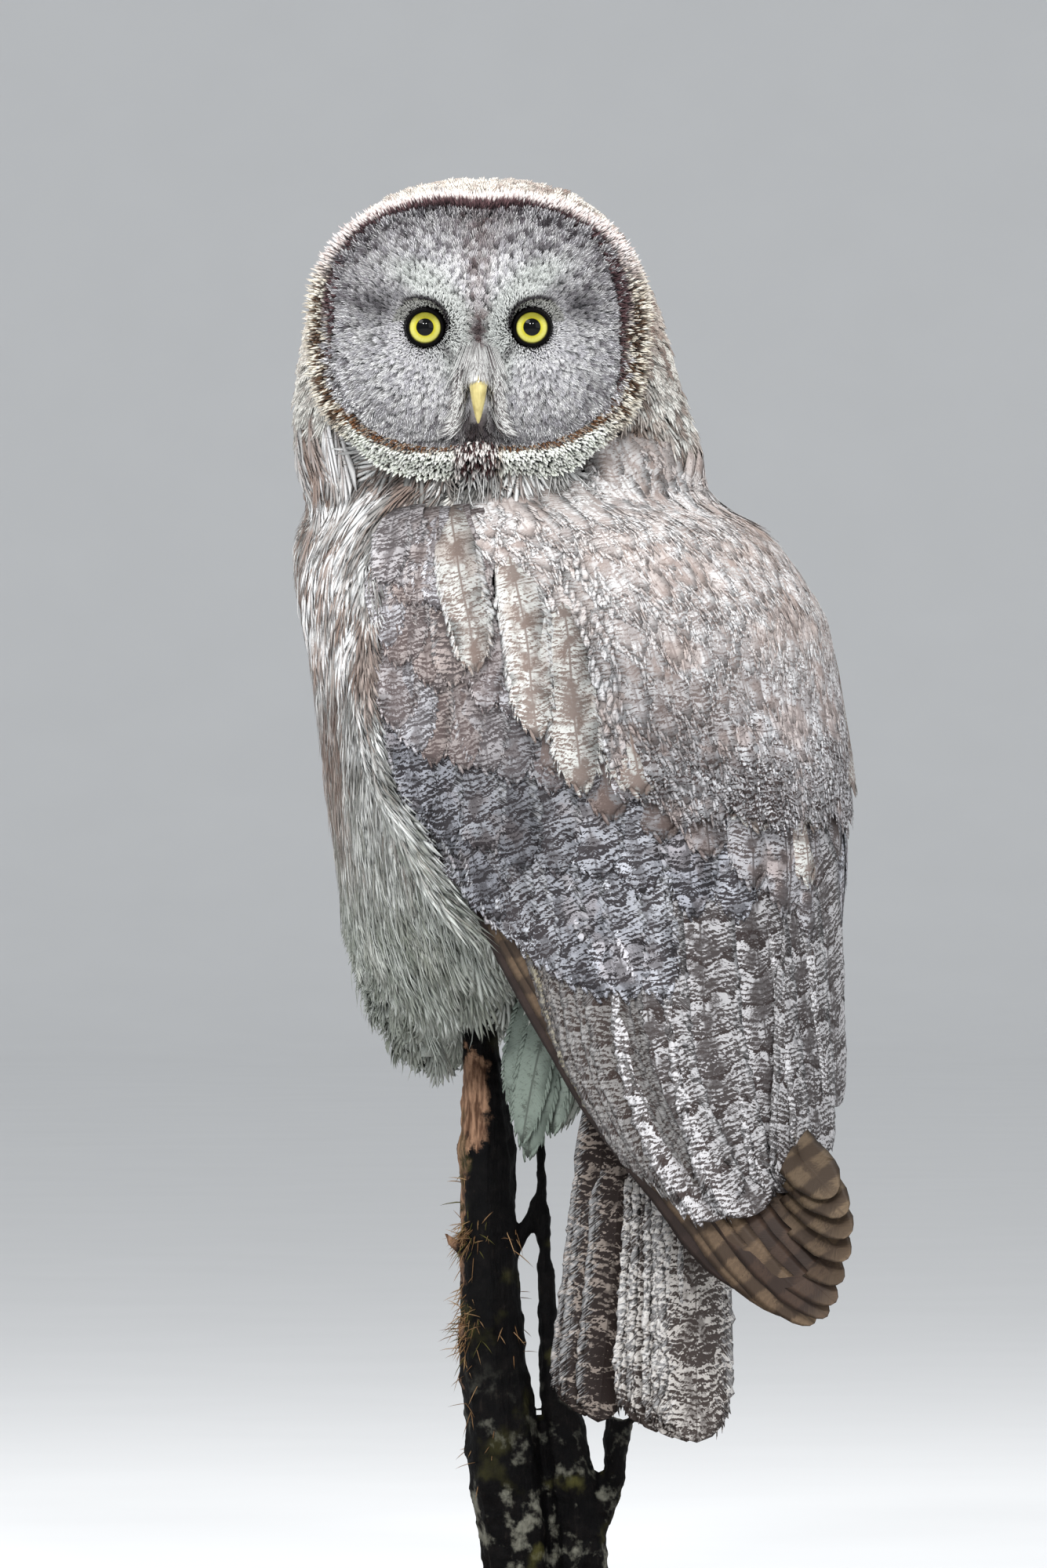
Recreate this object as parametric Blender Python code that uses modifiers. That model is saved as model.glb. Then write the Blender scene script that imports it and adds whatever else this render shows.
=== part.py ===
"""Great grey owl, life-size: perched on a broken branch with its back turned and its head looking round.

Lengths are in millimetres and become metres in the meshes. +Z is up, and the origin is the centre of
the stand's underside. The bird's own directions are "back" (from breast to back), "left" and up.
"""

import math
import random

import bmesh
import bpy
from mathutils import Matrix, Vector

MM = 0.001
GAP = 0.3

# Stance: the back is turned this far from -Y towards +X, and the face looks along -Y.
YAW = math.radians(45)

# Head and face
FACE_X = -46.0
FACE_Z = 655.0
FACE_PLANE_Y = -36.0
NECK_CUT_Z = 586.0
EYE_APART = 52.0
EYE_Z = 656.0
EYE_RADIUS = 11.5
EYE_DEPTH = 14.0
LID_RADIUS = 9.6
LID_THICK = 1.7

# Wing tiers
VANE_THICK = 0.6
WING_TOP_Z = 584.0
WING_CORE_END_Z = 352.0
WING_CORE_IN = -17.0
WING_CORE_OUT = -9.0
MIDLINE_CLEAR = 0.5

# Perch and stand
STEM_X = -46.0
STEM_Y = 15.0
PERCH_TOP_Z = 349.0
PERCH_CUT_Z = 45.0
BASE_RADIUS = 165.0
BASE_THICK = 20.0
ROD_RADIUS = 4.0
ROD_PLACES = ((-26.0, 15.0), (2.0, 16.0))

# Torso without the wings, from the neck down: height, centre's shift to the back, half width,
# depth to the front and depth to the back.
TORSO = (
    (604.0, -34.0, 62.0, 66.0, 60.0),
    (588.0, -35.0, 84.0, 92.0, 72.0),
    (569.0, -38.0, 98.0, 112.0, 88.0),
    (549.0, -32.0, 106.0, 121.0, 103.0),
    (530.0, -25.0, 113.0, 122.0, 115.0),
    (511.0, -18.0, 115.0, 120.0, 123.0),
    (472.0, -8.0, 116.0, 121.0, 124.0),
    (434.0, 0.0, 115.0, 125.0, 127.0),
    (395.0, 4.0, 110.0, 124.0, 122.0),
    (372.0, 0.0, 103.0, 120.0, 112.0),
    (357.0, -6.0, 96.0, 117.0, 104.0),
    (345.0, -24.0, 84.0, 98.0, 88.0),
    (334.0, -56.0, 64.0, 62.0, 54.0),
    (322.0, -82.0, 46.0, 36.0, 34.0),
    (308.0, -90.0, 33.0, 24.0, 23.0),
    (297.0, -94.0, 18.0, 13.0, 12.0),
)

# Outer face of the folded wings: height, centre's shift to the back, half width, depth to the back,
# and where the leading edge lies, in degrees round from the back.
WING = (
    (588.0, -42.0, 92.0, 92.0, 62.0),
    (569.0, -40.0, 108.0, 106.0, 72.0),
    (549.0, -32.0, 116.0, 121.0, 80.0),
    (530.0, -25.0, 124.0, 131.0, 84.0),
    (511.0, -18.0, 126.0, 138.0, 87.0),
    (472.0, -8.0, 127.0, 137.0, 92.0),
    (434.0, 0.0, 125.0, 140.0, 92.0),
    (395.0, 8.0, 121.0, 138.0, 85.0),
    (376.0, 14.0, 118.0, 130.0, 82.0),
    (357.0, 22.0, 112.0, 122.0, 79.0),
    (338.0, 32.0, 106.0, 112.0, 77.0),
    (318.0, 42.0, 100.0, 102.0, 74.0),
    (299.0, 52.0, 94.0, 94.0, 72.0),
    (280.0, 64.0, 84.0, 83.0, 73.0),
    (261.0, 78.0, 72.0, 70.0, 76.0),
    (241.0, 96.0, 58.0, 54.0, 81.0),
    (230.0, 108.0, 50.0, 46.0, 86.0),
    (203.0, 138.0, 34.0, 30.0, 104.0),
    (184.0, 152.0, 19.0, 18.0, 104.0),
    (172.0, 162.0, 10.0, 12.0, 104.0),
)

# Head, seen along its gaze: height, centre X, half width, centre Y, depth to the face, to the nape.
HEAD = (
    (731.5, -44.0, 22.0, 4.0, 20.0, 22.0),
    (726.5, -44.0, 41.0, 2.0, 37.0, 42.0),
    (718.8, -44.0, 55.0, 0.0, 50.0, 58.0),
    (703.4, -44.5, 71.0, 0.0, 62.0, 72.0),
    (684.1, -44.5, 81.0, 0.0, 70.0, 80.0),
    (664.9, -43.5, 88.0, 0.0, 74.0, 85.0),
    (645.6, -42.5, 93.0, 0.0, 76.0, 88.0),
    (626.4, -41.5, 96.5, 1.0, 74.0, 90.0),
    (607.1, -38.5, 100.0, 4.0, 68.0, 92.0),
    (595.6, -36.0, 101.0, 8.0, 64.0, 92.0),
    (580.0, -34.0, 99.0, 14.0, 62.0, 90.0),
    (562.0, -32.0, 86.0, 20.0, 54.0, 78.0),
)


def smooth_row(table, height):
    """The table's values at this height, on a smooth curve through its rows."""
    rows = sorted(table)
    heights = [row[0] for row in rows]
    height = min(max(height, heights[0]), heights[-1])
    above = next(i for i in range(1, len(rows)) if height <= heights[i])
    low, high = above - 1, above
    before, after = max(low - 1, 0), min(high + 1, len(rows) - 1)
    span = heights[high] - heights[low]
    t = (height - heights[low]) / span
    values = []
    for column in range(1, len(rows[0])):
        start, end = rows[low][column], rows[high][column]
        start_slope = (end - rows[before][column]) / (heights[high] - heights[before])
        end_slope = (rows[after][column] - start) / (heights[after] - heights[low])
        values.append(
            start * (2 * t**3 - 3 * t**2 + 1)
            + start_slope * span * (t**3 - 2 * t**2 + t)
            + end * (3 * t**2 - 2 * t**3)
            + end_slope * span * (t**3 - t**2)
        )
    return values


def bird(back, left, height):
    """A point by its distance to the bird's back, to its left and up, in metres."""
    x = back * math.sin(YAW) - left * math.cos(YAW)
    y = -back * math.cos(YAW) - left * math.sin(YAW)
    return Vector((x, y, height)) * MM


# ---------------------------------------------------------------- mesh helpers


def mesh_object(name, points, faces):
    """A mesh object with its normals pointing out."""
    mesh = bpy.data.meshes.new(name)
    mesh.from_pydata([tuple(point) for point in points], [], faces)
    form = bmesh.new()
    form.from_mesh(mesh)
    bmesh.ops.recalc_face_normals(form, faces=form.faces)
    form.to_mesh(mesh)
    form.free()
    made = bpy.data.objects.new(name, mesh)
    bpy.context.scene.collection.objects.link(made)
    return made


def loft(name, rings):
    """A closed body through rings of equally many points, with a fan to a middle point at each end."""
    sides = len(rings[0])
    points = [point for ring in rings for point in ring]
    faces = []
    for level in range(len(rings) - 1):
        start = level * sides
        for k in range(sides):
            after = (k + 1) % sides
            faces.append((start + k, start + after, start + sides + after, start + sides + k))
    for ring, start in ((rings[0], 0), (rings[-1], (len(rings) - 1) * sides)):
        points.append(sum(ring, Vector()) / sides)
        middle = len(points) - 1
        faces += [(start + k, start + (k + 1) % sides, middle) for k in range(sides)]
    return mesh_object(name, points, faces)


def tube(name, points, radii, resolution=2, flatten=None):
    """A closed mesh tube along points in millimetres, its radius given at each of them."""
    curve = bpy.data.curves.new(name, "CURVE")
    curve.dimensions = "3D"
    curve.bevel_depth = MM
    curve.bevel_resolution = resolution
    curve.use_fill_caps = True
    spline = curve.splines.new("POLY")
    spline.points.add(len(points) - 1)
    for place, point, radius in zip(spline.points, points, radii):
        place.co = (*(Vector(point) * MM), 1.0)
        place.radius = radius
    guide = bpy.data.objects.new(name + "_guide", curve)
    bpy.context.scene.collection.objects.link(guide)
    graph = bpy.context.evaluated_depsgraph_get()
    mesh = bpy.data.meshes.new_from_object(guide.evaluated_get(graph))
    bpy.data.objects.remove(guide)
    form = bmesh.new()
    form.from_mesh(mesh)
    bmesh.ops.remove_doubles(form, verts=form.verts, dist=1e-5)
    if flatten:
        middle = Vector(flatten[0]) * MM
        bmesh.ops.scale(form, vec=flatten[1], space=Matrix.Translation(-middle), verts=form.verts)
    bmesh.ops.recalc_face_normals(form, faces=form.faces)
    form.to_mesh(mesh)
    form.free()
    made = bpy.data.objects.new(name, mesh)
    bpy.context.scene.collection.objects.link(made)
    return made


def ball(name, centre, radii, rings=12, sides=20, turn=None):
    """A closed ellipsoid about a centre in millimetres."""
    mesh = bpy.data.meshes.new(name)
    form = bmesh.new()
    bmesh.ops.create_uvsphere(form, u_segments=sides, v_segments=rings, radius=1.0)
    place = Matrix.Translation(Vector(centre) * MM) @ (turn or Matrix.Identity(4))
    place = place @ Matrix.Diagonal((*(Vector(radii) * MM), 1.0))
    bmesh.ops.transform(form, matrix=place, verts=form.verts)
    form.to_mesh(mesh)
    form.free()
    made = bpy.data.objects.new(name, mesh)
    bpy.context.scene.collection.objects.link(made)
    return made


def block(name, low, high):
    """A closed box between two corners in millimetres."""
    mesh = bpy.data.meshes.new(name)
    form = bmesh.new()
    bmesh.ops.create_cube(form, size=1.0)
    low, high = Vector(low) * MM, Vector(high) * MM
    place = Matrix.Translation((low + high) / 2) @ Matrix.Diagonal((*(high - low), 1.0))
    bmesh.ops.transform(form, matrix=place, verts=form.verts)
    form.to_mesh(mesh)
    form.free()
    made = bpy.data.objects.new(name, mesh)
    bpy.context.scene.collection.objects.link(made)
    return made


def copy_of(body, name, swell=0.0):
    """A copy of a body whose surface is moved out by this many millimetres."""
    made = bpy.data.objects.new(name, body.data.copy())
    bpy.context.scene.collection.objects.link(made)
    if swell:
        form = bmesh.new()
        form.from_mesh(made.data)
        form.normal_update()
        moved = [vertex.co + vertex.normal * swell * MM for vertex in form.verts]
        for vertex, place in zip(form.verts, moved):
            vertex.co = place
        form.to_mesh(made.data)
        form.free()
    return made


def combine(body, operation, others, solver="MANIFOLD"):
    """Joins to, cuts from or shares with body the other closed bodies, which are used up."""
    group = bpy.data.collections.new("tools")
    bpy.context.scene.collection.children.link(group)
    for other in others:
        bpy.context.scene.collection.objects.unlink(other)
        group.objects.link(other)
    change = body.modifiers.new(operation, "BOOLEAN")
    change.operation = operation
    change.operand_type = "COLLECTION"
    change.collection = group
    change.solver = solver
    graph = bpy.context.evaluated_depsgraph_get()
    mesh = bpy.data.meshes.new_from_object(body.evaluated_get(graph))
    body.modifiers.clear()
    body.data = mesh
    for other in others:
        bpy.data.objects.remove(other)
    bpy.data.collections.remove(group)
    return body


def into_triangles(form):
    """Splits every face into triangles, so that no two faces are split along the same line."""
    trial = form.copy()
    bmesh.ops.triangulate(trial, faces=trial.faces)
    doubled = [{v.index for v in edge.verts} for edge in trial.edges if len(edge.link_faces) > 2]
    trial.free()
    poked = [face for face in form.faces if any(pair <= {v.index for v in face.verts} for pair in doubled)]
    bmesh.ops.poke(form, faces=[face for face in poked if len(face.verts) > 3])
    bmesh.ops.triangulate(form, faces=form.faces)


def keep_largest(body, flatten=0.0):
    """Leaves only the closed surface of the greatest volume, with faces merged that are this near flat."""
    form = bmesh.new()
    form.from_mesh(body.data)
    if flatten:
        limit = math.radians(flatten)
        bmesh.ops.dissolve_limit(form, angle_limit=limit, verts=form.verts, edges=form.edges)
    form.verts.index_update()
    into_triangles(form)
    left, islands = set(form.faces), []
    while left:
        island, edge = set(), [left.pop()]
        while edge:
            face = edge.pop()
            island.add(face)
            near = {n for side in face.edges for n in side.link_faces} & left
            left -= near
            edge.extend(near)
        volume = sum(f.verts[0].co.dot(f.verts[1].co.cross(f.verts[2].co)) for f in island) / 6
        islands.append((volume, island))
    best = max(islands, key=lambda entry: entry[0])[1]
    bmesh.ops.delete(form, geom=[f for f in form.faces if f not in best], context="FACES")
    form.to_mesh(body.data)
    form.free()
    return body


# ---------------------------------------------------------------- flesh: torso, neck and head


def torso_form():
    """The torso as one loft, without wings, legs or locks."""
    sides = 26
    rings = []
    for level in range(15):
        height = TORSO[0][0] + (TORSO[-1][0] - TORSO[0][0]) * level / 14
        centre, half_width, front, rear = smooth_row(TORSO, height)
        ring = []
        for k in range(sides):
            angle = 2 * math.pi * k / sides
            depth = rear if math.cos(angle) > 0 else front
            back = centre + depth * math.cos(angle)
            ring.append(bird(back, half_width * math.sin(angle), height))
        rings.append(ring)
    return loft("torso", rings)


def head_form():
    """The head and nape as one loft round the direction of the gaze."""
    sides = 30
    rings = []
    for level in range(14):
        share = level / 13
        share = share * share * (1.6 - 0.6 * share)
        height = HEAD[0][0] + (HEAD[-1][0] - HEAD[0][0]) * share
        middle, half_width, centre_y, face, nape = smooth_row(HEAD, height)
        ring = []
        for k in range(sides):
            angle = 2 * math.pi * k / sides
            depth = nape if math.cos(angle) > 0 else face
            x = middle + half_width * math.sin(angle)
            ring.append(Vector((x, centre_y + depth * math.cos(angle), height)) * MM)
        rings.append(ring)
    return loft("head", rings)


def skirt_lock(index, count):
    """One hanging lock of the belly's long plumage, tapered and bent inwards to its tip."""
    share = index / (count - 1)
    angle = math.radians(100 + 160 * share)
    drift = random.uniform(-4, 4)
    root_z = 362.0 + random.uniform(-5, 5)
    centre, half_width, front, _ = smooth_row(TORSO, root_z)
    reach = 0.93 - 0.03 * (index % 2)
    root = (centre + front * math.cos(angle) * reach, half_width * math.sin(angle) * reach)
    middle_pull = 0.80
    tip_pull = 0.55
    lean = -34.0 * (1 - abs(2 * share - 1)) - 6.0
    middle = (root[0] * middle_pull + lean * 0.5, root[1] * middle_pull + drift)
    tip = (root[0] * tip_pull + lean, root[1] * tip_pull + drift)
    tip_z = 330.0 - 38.0 * math.sin(math.pi * share) + random.uniform(-4, 4)
    stations = (
        (root, root_z, 15.0),
        (((root[0] + middle[0]) / 2 - 2, (root[1] + middle[1]) / 2), root_z - 20, 17.0),
        (middle, (root_z + tip_z) / 2 - 3, 12.0),
        (tip, tip_z, 1.5),
    )
    rings = []
    for (back, left), height, width in stations:
        out = Vector((root[0] - centre, root[1])).normalized()
        along = Vector((-out.y, out.x))
        ring = []
        for side, depth in ((-1, 0), (0, 1), (1, 0), (0, -1)):
            shift = along * side * width / 2 + out * depth * max(width * 0.16, 0.6)
            ring.append(bird(back + shift.x, left + shift.y, height))
        rings.append(ring)
    return loft("lock", rings)


# ---------------------------------------------------------------- facial disc, eyes and bill


def disc_outline(angle):
    """The facial disc's reach from its middle in this direction, 0 along +X and a quarter turn up."""
    side = math.cos(angle)
    rise = math.sin(angle)
    half_width = 84.0
    half_height = 66.0 if rise > 0 else 67.0
    power = 2.45
    reach = (abs(side / half_width) ** power + abs(rise / half_height) ** power) ** (-1 / power)
    dent = 3.5 * math.exp(-((side / 0.22) ** 2))
    return reach - dent


def disc_depth(x, z, share):
    """How far the disc stands before its back plane at x and z from its middle, share of the way out."""
    eye = math.hypot(abs(x) - EYE_APART / 2, z - 1.0)
    dome = 9.0 + 18.0 * (1 - share**2)
    ridge_fade = 1 / (1 + math.exp((abs(z + 2) - 36) / 7))
    ridge = 13.0 * math.exp(-((x / 10.0) ** 2)) * ridge_fade
    brow = 4.0 * math.exp(-(((abs(x) - 13) / 9) ** 2) - (((z - 20) / 13) ** 2))
    dish = 7.0 * math.exp(-((eye / 17.0) ** 2))
    cheek = 3.0 * math.exp(-(((abs(x) - 34) / 22) ** 2) - (((z + 26) / 18) ** 2))
    rim = 8.0 * math.exp(-(((share - 0.94) / 0.055) ** 2))
    return dome + ridge + brow - dish + cheek + rim


def disc_form():
    """The facial disc: two shallow dishes about the eyes, a ridge between them and a raised ruff."""
    shares = (0.12, 0.24, 0.36, 0.49, 0.63, 0.77, 0.87, 0.94, 0.985)
    sides = 30
    points = [Vector((FACE_X, FACE_PLANE_Y - disc_depth(0, 0, 0), FACE_Z)) * MM]
    for share in shares:
        for k in range(sides):
            angle = 2 * math.pi * k / sides
            reach = share * disc_outline(angle)
            x, z = reach * math.cos(angle), reach * math.sin(angle)
            front = FACE_PLANE_Y - disc_depth(x, z, share)
            points.append(Vector((FACE_X + 1.5 * share + x, front, FACE_Z + z)) * MM)
    for k in range(sides):
        angle = 2 * math.pi * k / sides
        reach = disc_outline(angle)
        x, z = reach * math.cos(angle), reach * math.sin(angle)
        points.append(Vector((FACE_X + 1.5 + x, FACE_PLANE_Y, FACE_Z + z)) * MM)
    faces = [(0, 1 + k, 1 + (k + 1) % sides) for k in range(sides)]
    for level in range(len(shares)):
        start = 1 + level * sides
        for k in range(sides):
            after = (k + 1) % sides
            faces.append((start + k, start + after, start + sides + after, start + sides + k))
    last = 1 + len(shares) * sides
    points.append(Vector((FACE_X, FACE_PLANE_Y, FACE_Z)) * MM)
    back = len(points) - 1
    faces += [(last + k, last + (k + 1) % sides, back) for k in range(sides)]
    return mesh_object("facial_disc", points, faces)


def eye_centre(side):
    """The centre of the left eye for side 1, seen on the viewer's right, or of the other for -1."""
    return (FACE_X + side * EYE_APART / 2, FACE_PLANE_Y - EYE_DEPTH, EYE_Z)


def lid(side):
    """The raised rim of skin about one eye."""
    x, y, z = eye_centre(side)
    mesh = bpy.data.meshes.new("lid")
    form = bmesh.new()
    major, minor, sides, ring = LID_RADIUS, LID_THICK, 16, 5
    front = y - math.sqrt(EYE_RADIUS**2 - (LID_RADIUS - 1) ** 2) + 0.6
    rows = []
    for k in range(sides):
        angle = 2 * math.pi * k / sides
        lift = 1.15 if math.sin(angle) > 0.3 else 1.0
        row = []
        for j in range(ring):
            turn = 2 * math.pi * j / ring
            reach = major + minor * lift * math.cos(turn)
            place = (x + reach * math.cos(angle), front + minor * lift * math.sin(turn))
            row.append(form.verts.new(Vector((*place, z + reach * math.sin(angle))) * MM))
        rows.append(row)
    for k in range(sides):
        row, after = rows[k], rows[(k + 1) % sides]
        for j in range(ring):
            form.faces.new((row[j], row[(j + 1) % ring], after[(j + 1) % ring], after[j]))
    bmesh.ops.recalc_face_normals(form, faces=form.faces)
    form.to_mesh(mesh)
    form.free()
    made = bpy.data.objects.new("lid", mesh)
    bpy.context.scene.collection.objects.link(made)
    return made


def bill(name, forward, heights, radii):
    """One half of the bill as a tapered, hooked tube, narrower than it is deep."""
    path = [(FACE_X, FACE_PLANE_Y - out, height) for out, height in zip(forward, heights)]
    return tube(name, path, radii, 3, flatten=((FACE_X, 0, 0), (0.86, 1, 1)))


UPPER_BILL = ((24.0, 34.0, 40.0, 43.5, 44.5, 43.0), (642.0, 640.0, 633.0, 624.0, 616.0, 608.5))
UPPER_RADII = (7.0, 7.0, 6.2, 5.0, 3.2, 0.7)
LOWER_BILL = ((22.0, 32.0, 37.0, 39.0), (629.0, 625.0, 620.0, 614.5))
LOWER_RADII = (5.4, 5.2, 3.8, 1.2)


# ---------------------------------------------------------------- wings and tail


def wing_point(side, angle, height, out):
    """A point on one wing, by degrees round from the back, height and distance out of its face."""
    centre, half_width, depth, _ = smooth_row(WING, height)
    turn = math.radians(angle)
    back = centre + depth * math.cos(turn)
    left = half_width * math.sin(turn)
    normal = wing_normal(angle, height)
    back, left, lift = back + normal.x * out, left + normal.y * out, normal.z * out
    return bird(back, side * max(left, MIDLINE_CLEAR), height + lift)


def wing_normal(angle, height):
    """The wing face's outward direction: to the back, to the left and up."""

    def place(degrees, level):
        centre, half_width, depth, _ = smooth_row(WING, level)
        turn = math.radians(degrees)
        return Vector((centre + depth * math.cos(turn), half_width * math.sin(turn), level))

    round_way = place(angle + 1, height) - place(angle - 1, height)
    up_way = place(angle, height + 2) - place(angle, height - 2)
    return round_way.cross(up_way).normalized()


def leading_edge(height):
    """Degrees round from the back to the wing's leading edge."""
    return smooth_row(WING, height)[3]


def inset_angle(height, inset):
    """Degrees round from the back, this many millimetres behind the leading edge."""
    _, half_width, depth, edge = smooth_row(WING, height)
    return edge - math.degrees(inset / ((half_width + depth) / 2))


WIDE_TIP = ((0.0, 0.5), (0.42, 1.0), (0.82, 0.92), (1.0, 0.36))
FULL_TIP = ((0.0, 0.5), (0.45, 1.0), (0.88, 0.84), (1.0, 0.3))
LONG_TIP = ((0.0, 0.5), (0.3, 0.95), (0.64, 1.0), (0.9, 0.78), (1.0, 0.28))


def vane(side, path, width, sink, out, tilt, outline=WIDE_TIP):
    """One feather on a wing, as a thin closed blade.

    path gives the angle and height at a share of its length, sink and out its depth at root and body.
    """
    rings = []
    for share, width_share in outline:
        angle, height = path(share)
        ahead = path(min(share + 0.04, 1.0))
        behind = path(max(share - 0.04, 0.0))
        rise = min(share / 0.22, 1.0)
        level = sink + (out - sink) * rise
        middle = wing_point(side, angle, height, level)
        along = wing_point(side, *ahead, out) - wing_point(side, *behind, out)
        normal = wing_normal(angle, height)
        normal = bird(normal.x, side * normal.y, normal.z).normalized()
        across = along.cross(normal).normalized() * side
        _, half_width, depth, _ = smooth_row(WING, height)
        half = width * width_share / 2
        drop = half**2 / (half_width + depth)
        ring = []
        for place, face in ((-1, 0.5), (1, 0.5), (1, -0.5), (-1, -0.5)):
            lift = face * VANE_THICK - drop / 2 - tilt * half * place
            ring.append(middle + (across * half * place + normal * lift) * MM)
        rings.append([keep_side(point, side) for point in ring])
    return blade(rings)


def keep_side(point, side):
    """The point, moved to its own side of the bird's middle plane where it would cross it."""
    plane = bird(0, side, 0).normalized()
    short = MIDLINE_CLEAR * MM - point.dot(plane)
    return point + plane * short if short > 0 else point


def blade(rings):
    """A closed thin body through rings of four points, split alike on its two faces."""
    points = [point for ring in rings for point in ring]
    faces = []
    for level in range(len(rings) - 1):
        a, b, c, d = range(level * 4, level * 4 + 4)
        e, f, g, h = range(level * 4 + 4, level * 4 + 8)
        faces += [(a, b, f), (a, f, e), (c, d, g), (d, h, g), (b, c, g, f), (d, a, e, h)]
    last = len(rings) * 4 - 4
    faces += [(0, 1, 2, 3), (last, last + 1, last + 2, last + 3)]
    return mesh_object("vane", points, faces)


def straight(root, tip, bow=0.0):
    """A path from root to tip, each an angle and a height, bowed sideways by some degrees."""

    def path(share):
        angle = root[0] + (tip[0] - root[0]) * share + bow * math.sin(math.pi * share)
        return angle, root[1] + (tip[1] - root[1]) * share

    return path


def along_edge(root_z, tip_z, root_inset, tip_inset):
    """A path that keeps behind the leading edge by an inset that opens from root to tip."""

    def path(share):
        height = root_z + (tip_z - root_z) * share
        return inset_angle(height, root_inset + (tip_inset - root_inset) * share**1.3), height

    return path


def wing_core(side):
    """The folded arm and hand, as a slab under the coverts."""
    rows, columns = 9, 6
    outer, inner = [], []
    for i in range(rows):
        height = WING_TOP_Z + (WING_CORE_END_Z - WING_TOP_Z) * i / (rows - 1)
        thin = 1.0 if height > 372 else 0.45
        for k in range(columns):
            angle = 1.0 + (leading_edge(height) - 3.0) * k / (columns - 1)
            edge = 2.5 if k in (0, columns - 1) or i in (0, rows - 1) else 0.0
            outer.append(wing_point(side, angle, height, WING_CORE_OUT - edge))
            deep = WING_CORE_OUT + (WING_CORE_IN - WING_CORE_OUT) * thin
            inner.append(wing_point(side, angle, height, deep))
    points = outer + inner
    shift = rows * columns
    faces = []
    for i in range(rows - 1):
        for k in range(columns - 1):
            a = i * columns + k
            faces.append((a, a + 1, a + columns + 1, a + columns))
            faces.append((a + shift, a + columns + shift, a + columns + 1 + shift, a + 1 + shift))
    rim = [k for k in range(columns)]
    rim += [i * columns + columns - 1 for i in range(1, rows)]
    rim += [(rows - 1) * columns + k for k in range(columns - 2, -1, -1)]
    rim += [i * columns for i in range(rows - 2, 0, -1)]
    for a, b in zip(rim, rim[1:] + rim[:1]):
        faces.append((a, b, b + shift, a + shift))
    return mesh_object("core", points, faces)


def wing_vanes(side):
    """All feathers of one folded wing, tier by tier from the deepest to the outermost."""
    vanes = []
    for i in range(7):
        tip_z = (190, 180, 177, 184, 197, 212, 229)[i]
        path = along_edge(364, tip_z, 12 + 7.5 * i, 9 + 8.5 * i)
        vanes.append(vane(side, path, 18 + 1.2 * i, -14, -17.0 + 1.4 * i, -0.1, LONG_TIP))
    for j in range(7):
        share = j / 6
        root = (82 - 57 * share, 428 + 14 * share)
        tip_z = (296, 266, 247, 236, 233, 237, 250)[j]
        tip_inset = (17, 25, 37, 49, 60, 68, 72)[j]
        tip = (inset_angle(tip_z, tip_inset), tip_z)
        level = -8.6 + 0.6 * j
        vanes.append(vane(side, straight(root, tip, 3), 26 + 6 * share, -12, level, -0.07, FULL_TIP))
    for j in range(3):
        root = (23 - 7 * j, 448 + 6 * j)
        tip = ((20, 14, 8)[j], (262, 274, 294)[j])
        vanes.append(vane(side, straight(root, tip), 31, -12, -2.6 + 1.6 * j, 0.0, FULL_TIP))
    for j in range(6):
        share = j / 5
        root = (84 - 50 * share, 452 + 4 * share)
        tip = (76 - 42 * share, 372 - 40 * math.sin(math.pi * (0.15 + 0.5 * share)))
        vanes.append(vane(side, straight(root, tip), 29, -12, -3.2 + 0.2 * j, -0.07))
    for j in range(5):
        share = j / 4
        root = (86 - 48 * share, 484 + 6 * share)
        tip = (83 - 46 * share, 410 - 12 * math.sin(math.pi * share))
        vanes.append(vane(side, straight(root, tip), 31, -12, -0.6 + 0.1 * j, -0.06))
    for j in range(4):
        share = j / 3
        root = (82 - 36 * share, 522 + 8 * share)
        tip = (84 - 38 * share, 456 - 8 * math.sin(math.pi * share))
        vanes.append(vane(side, straight(root, tip), 34, -12, 1.8, -0.05))
    for row, (root_z, tip_z, count, first, last) in enumerate(
        ((508, 418, 4, 9, 45), (540, 460, 4, 12, 57), (564, 500, 4, 11, 62), (580, 536, 4, 14, 66))
    ):
        for j in range(count):
            share = j / (count - 1)
            root = (first + (last - first) * share, root_z - 6 * share)
            drop = 12 * math.sin(math.pi * share) + random.uniform(-4, 4)
            tip = (root[0] * 0.98 + 1.5, tip_z - drop)
            vanes.append(vane(side, straight(root, tip), 37 - row, -12, 3.6 + 1.3 * row, -0.05))
    return vanes


def tail_blade(root, tip, width, forward_bow=0.0, outline=LONG_TIP, tilt=0.0):
    """One tail feather or covert. root and tip give back, left and height."""
    rings = []
    root, tip = Vector(root), Vector(tip)
    for share, width_share in outline:
        middle = root.lerp(tip, share)
        middle.x += forward_bow * math.sin(math.pi * share)
        half = width * width_share / 2
        ring = []
        for place, face in ((-1, 0.5), (1, 0.5), (1, -0.5), (-1, -0.5)):
            back = middle.x + face * VANE_THICK + tilt * half * place
            ring.append(bird(back, middle.y + half * place, middle.z))
        rings.append(ring)
    return blade(rings)


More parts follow.
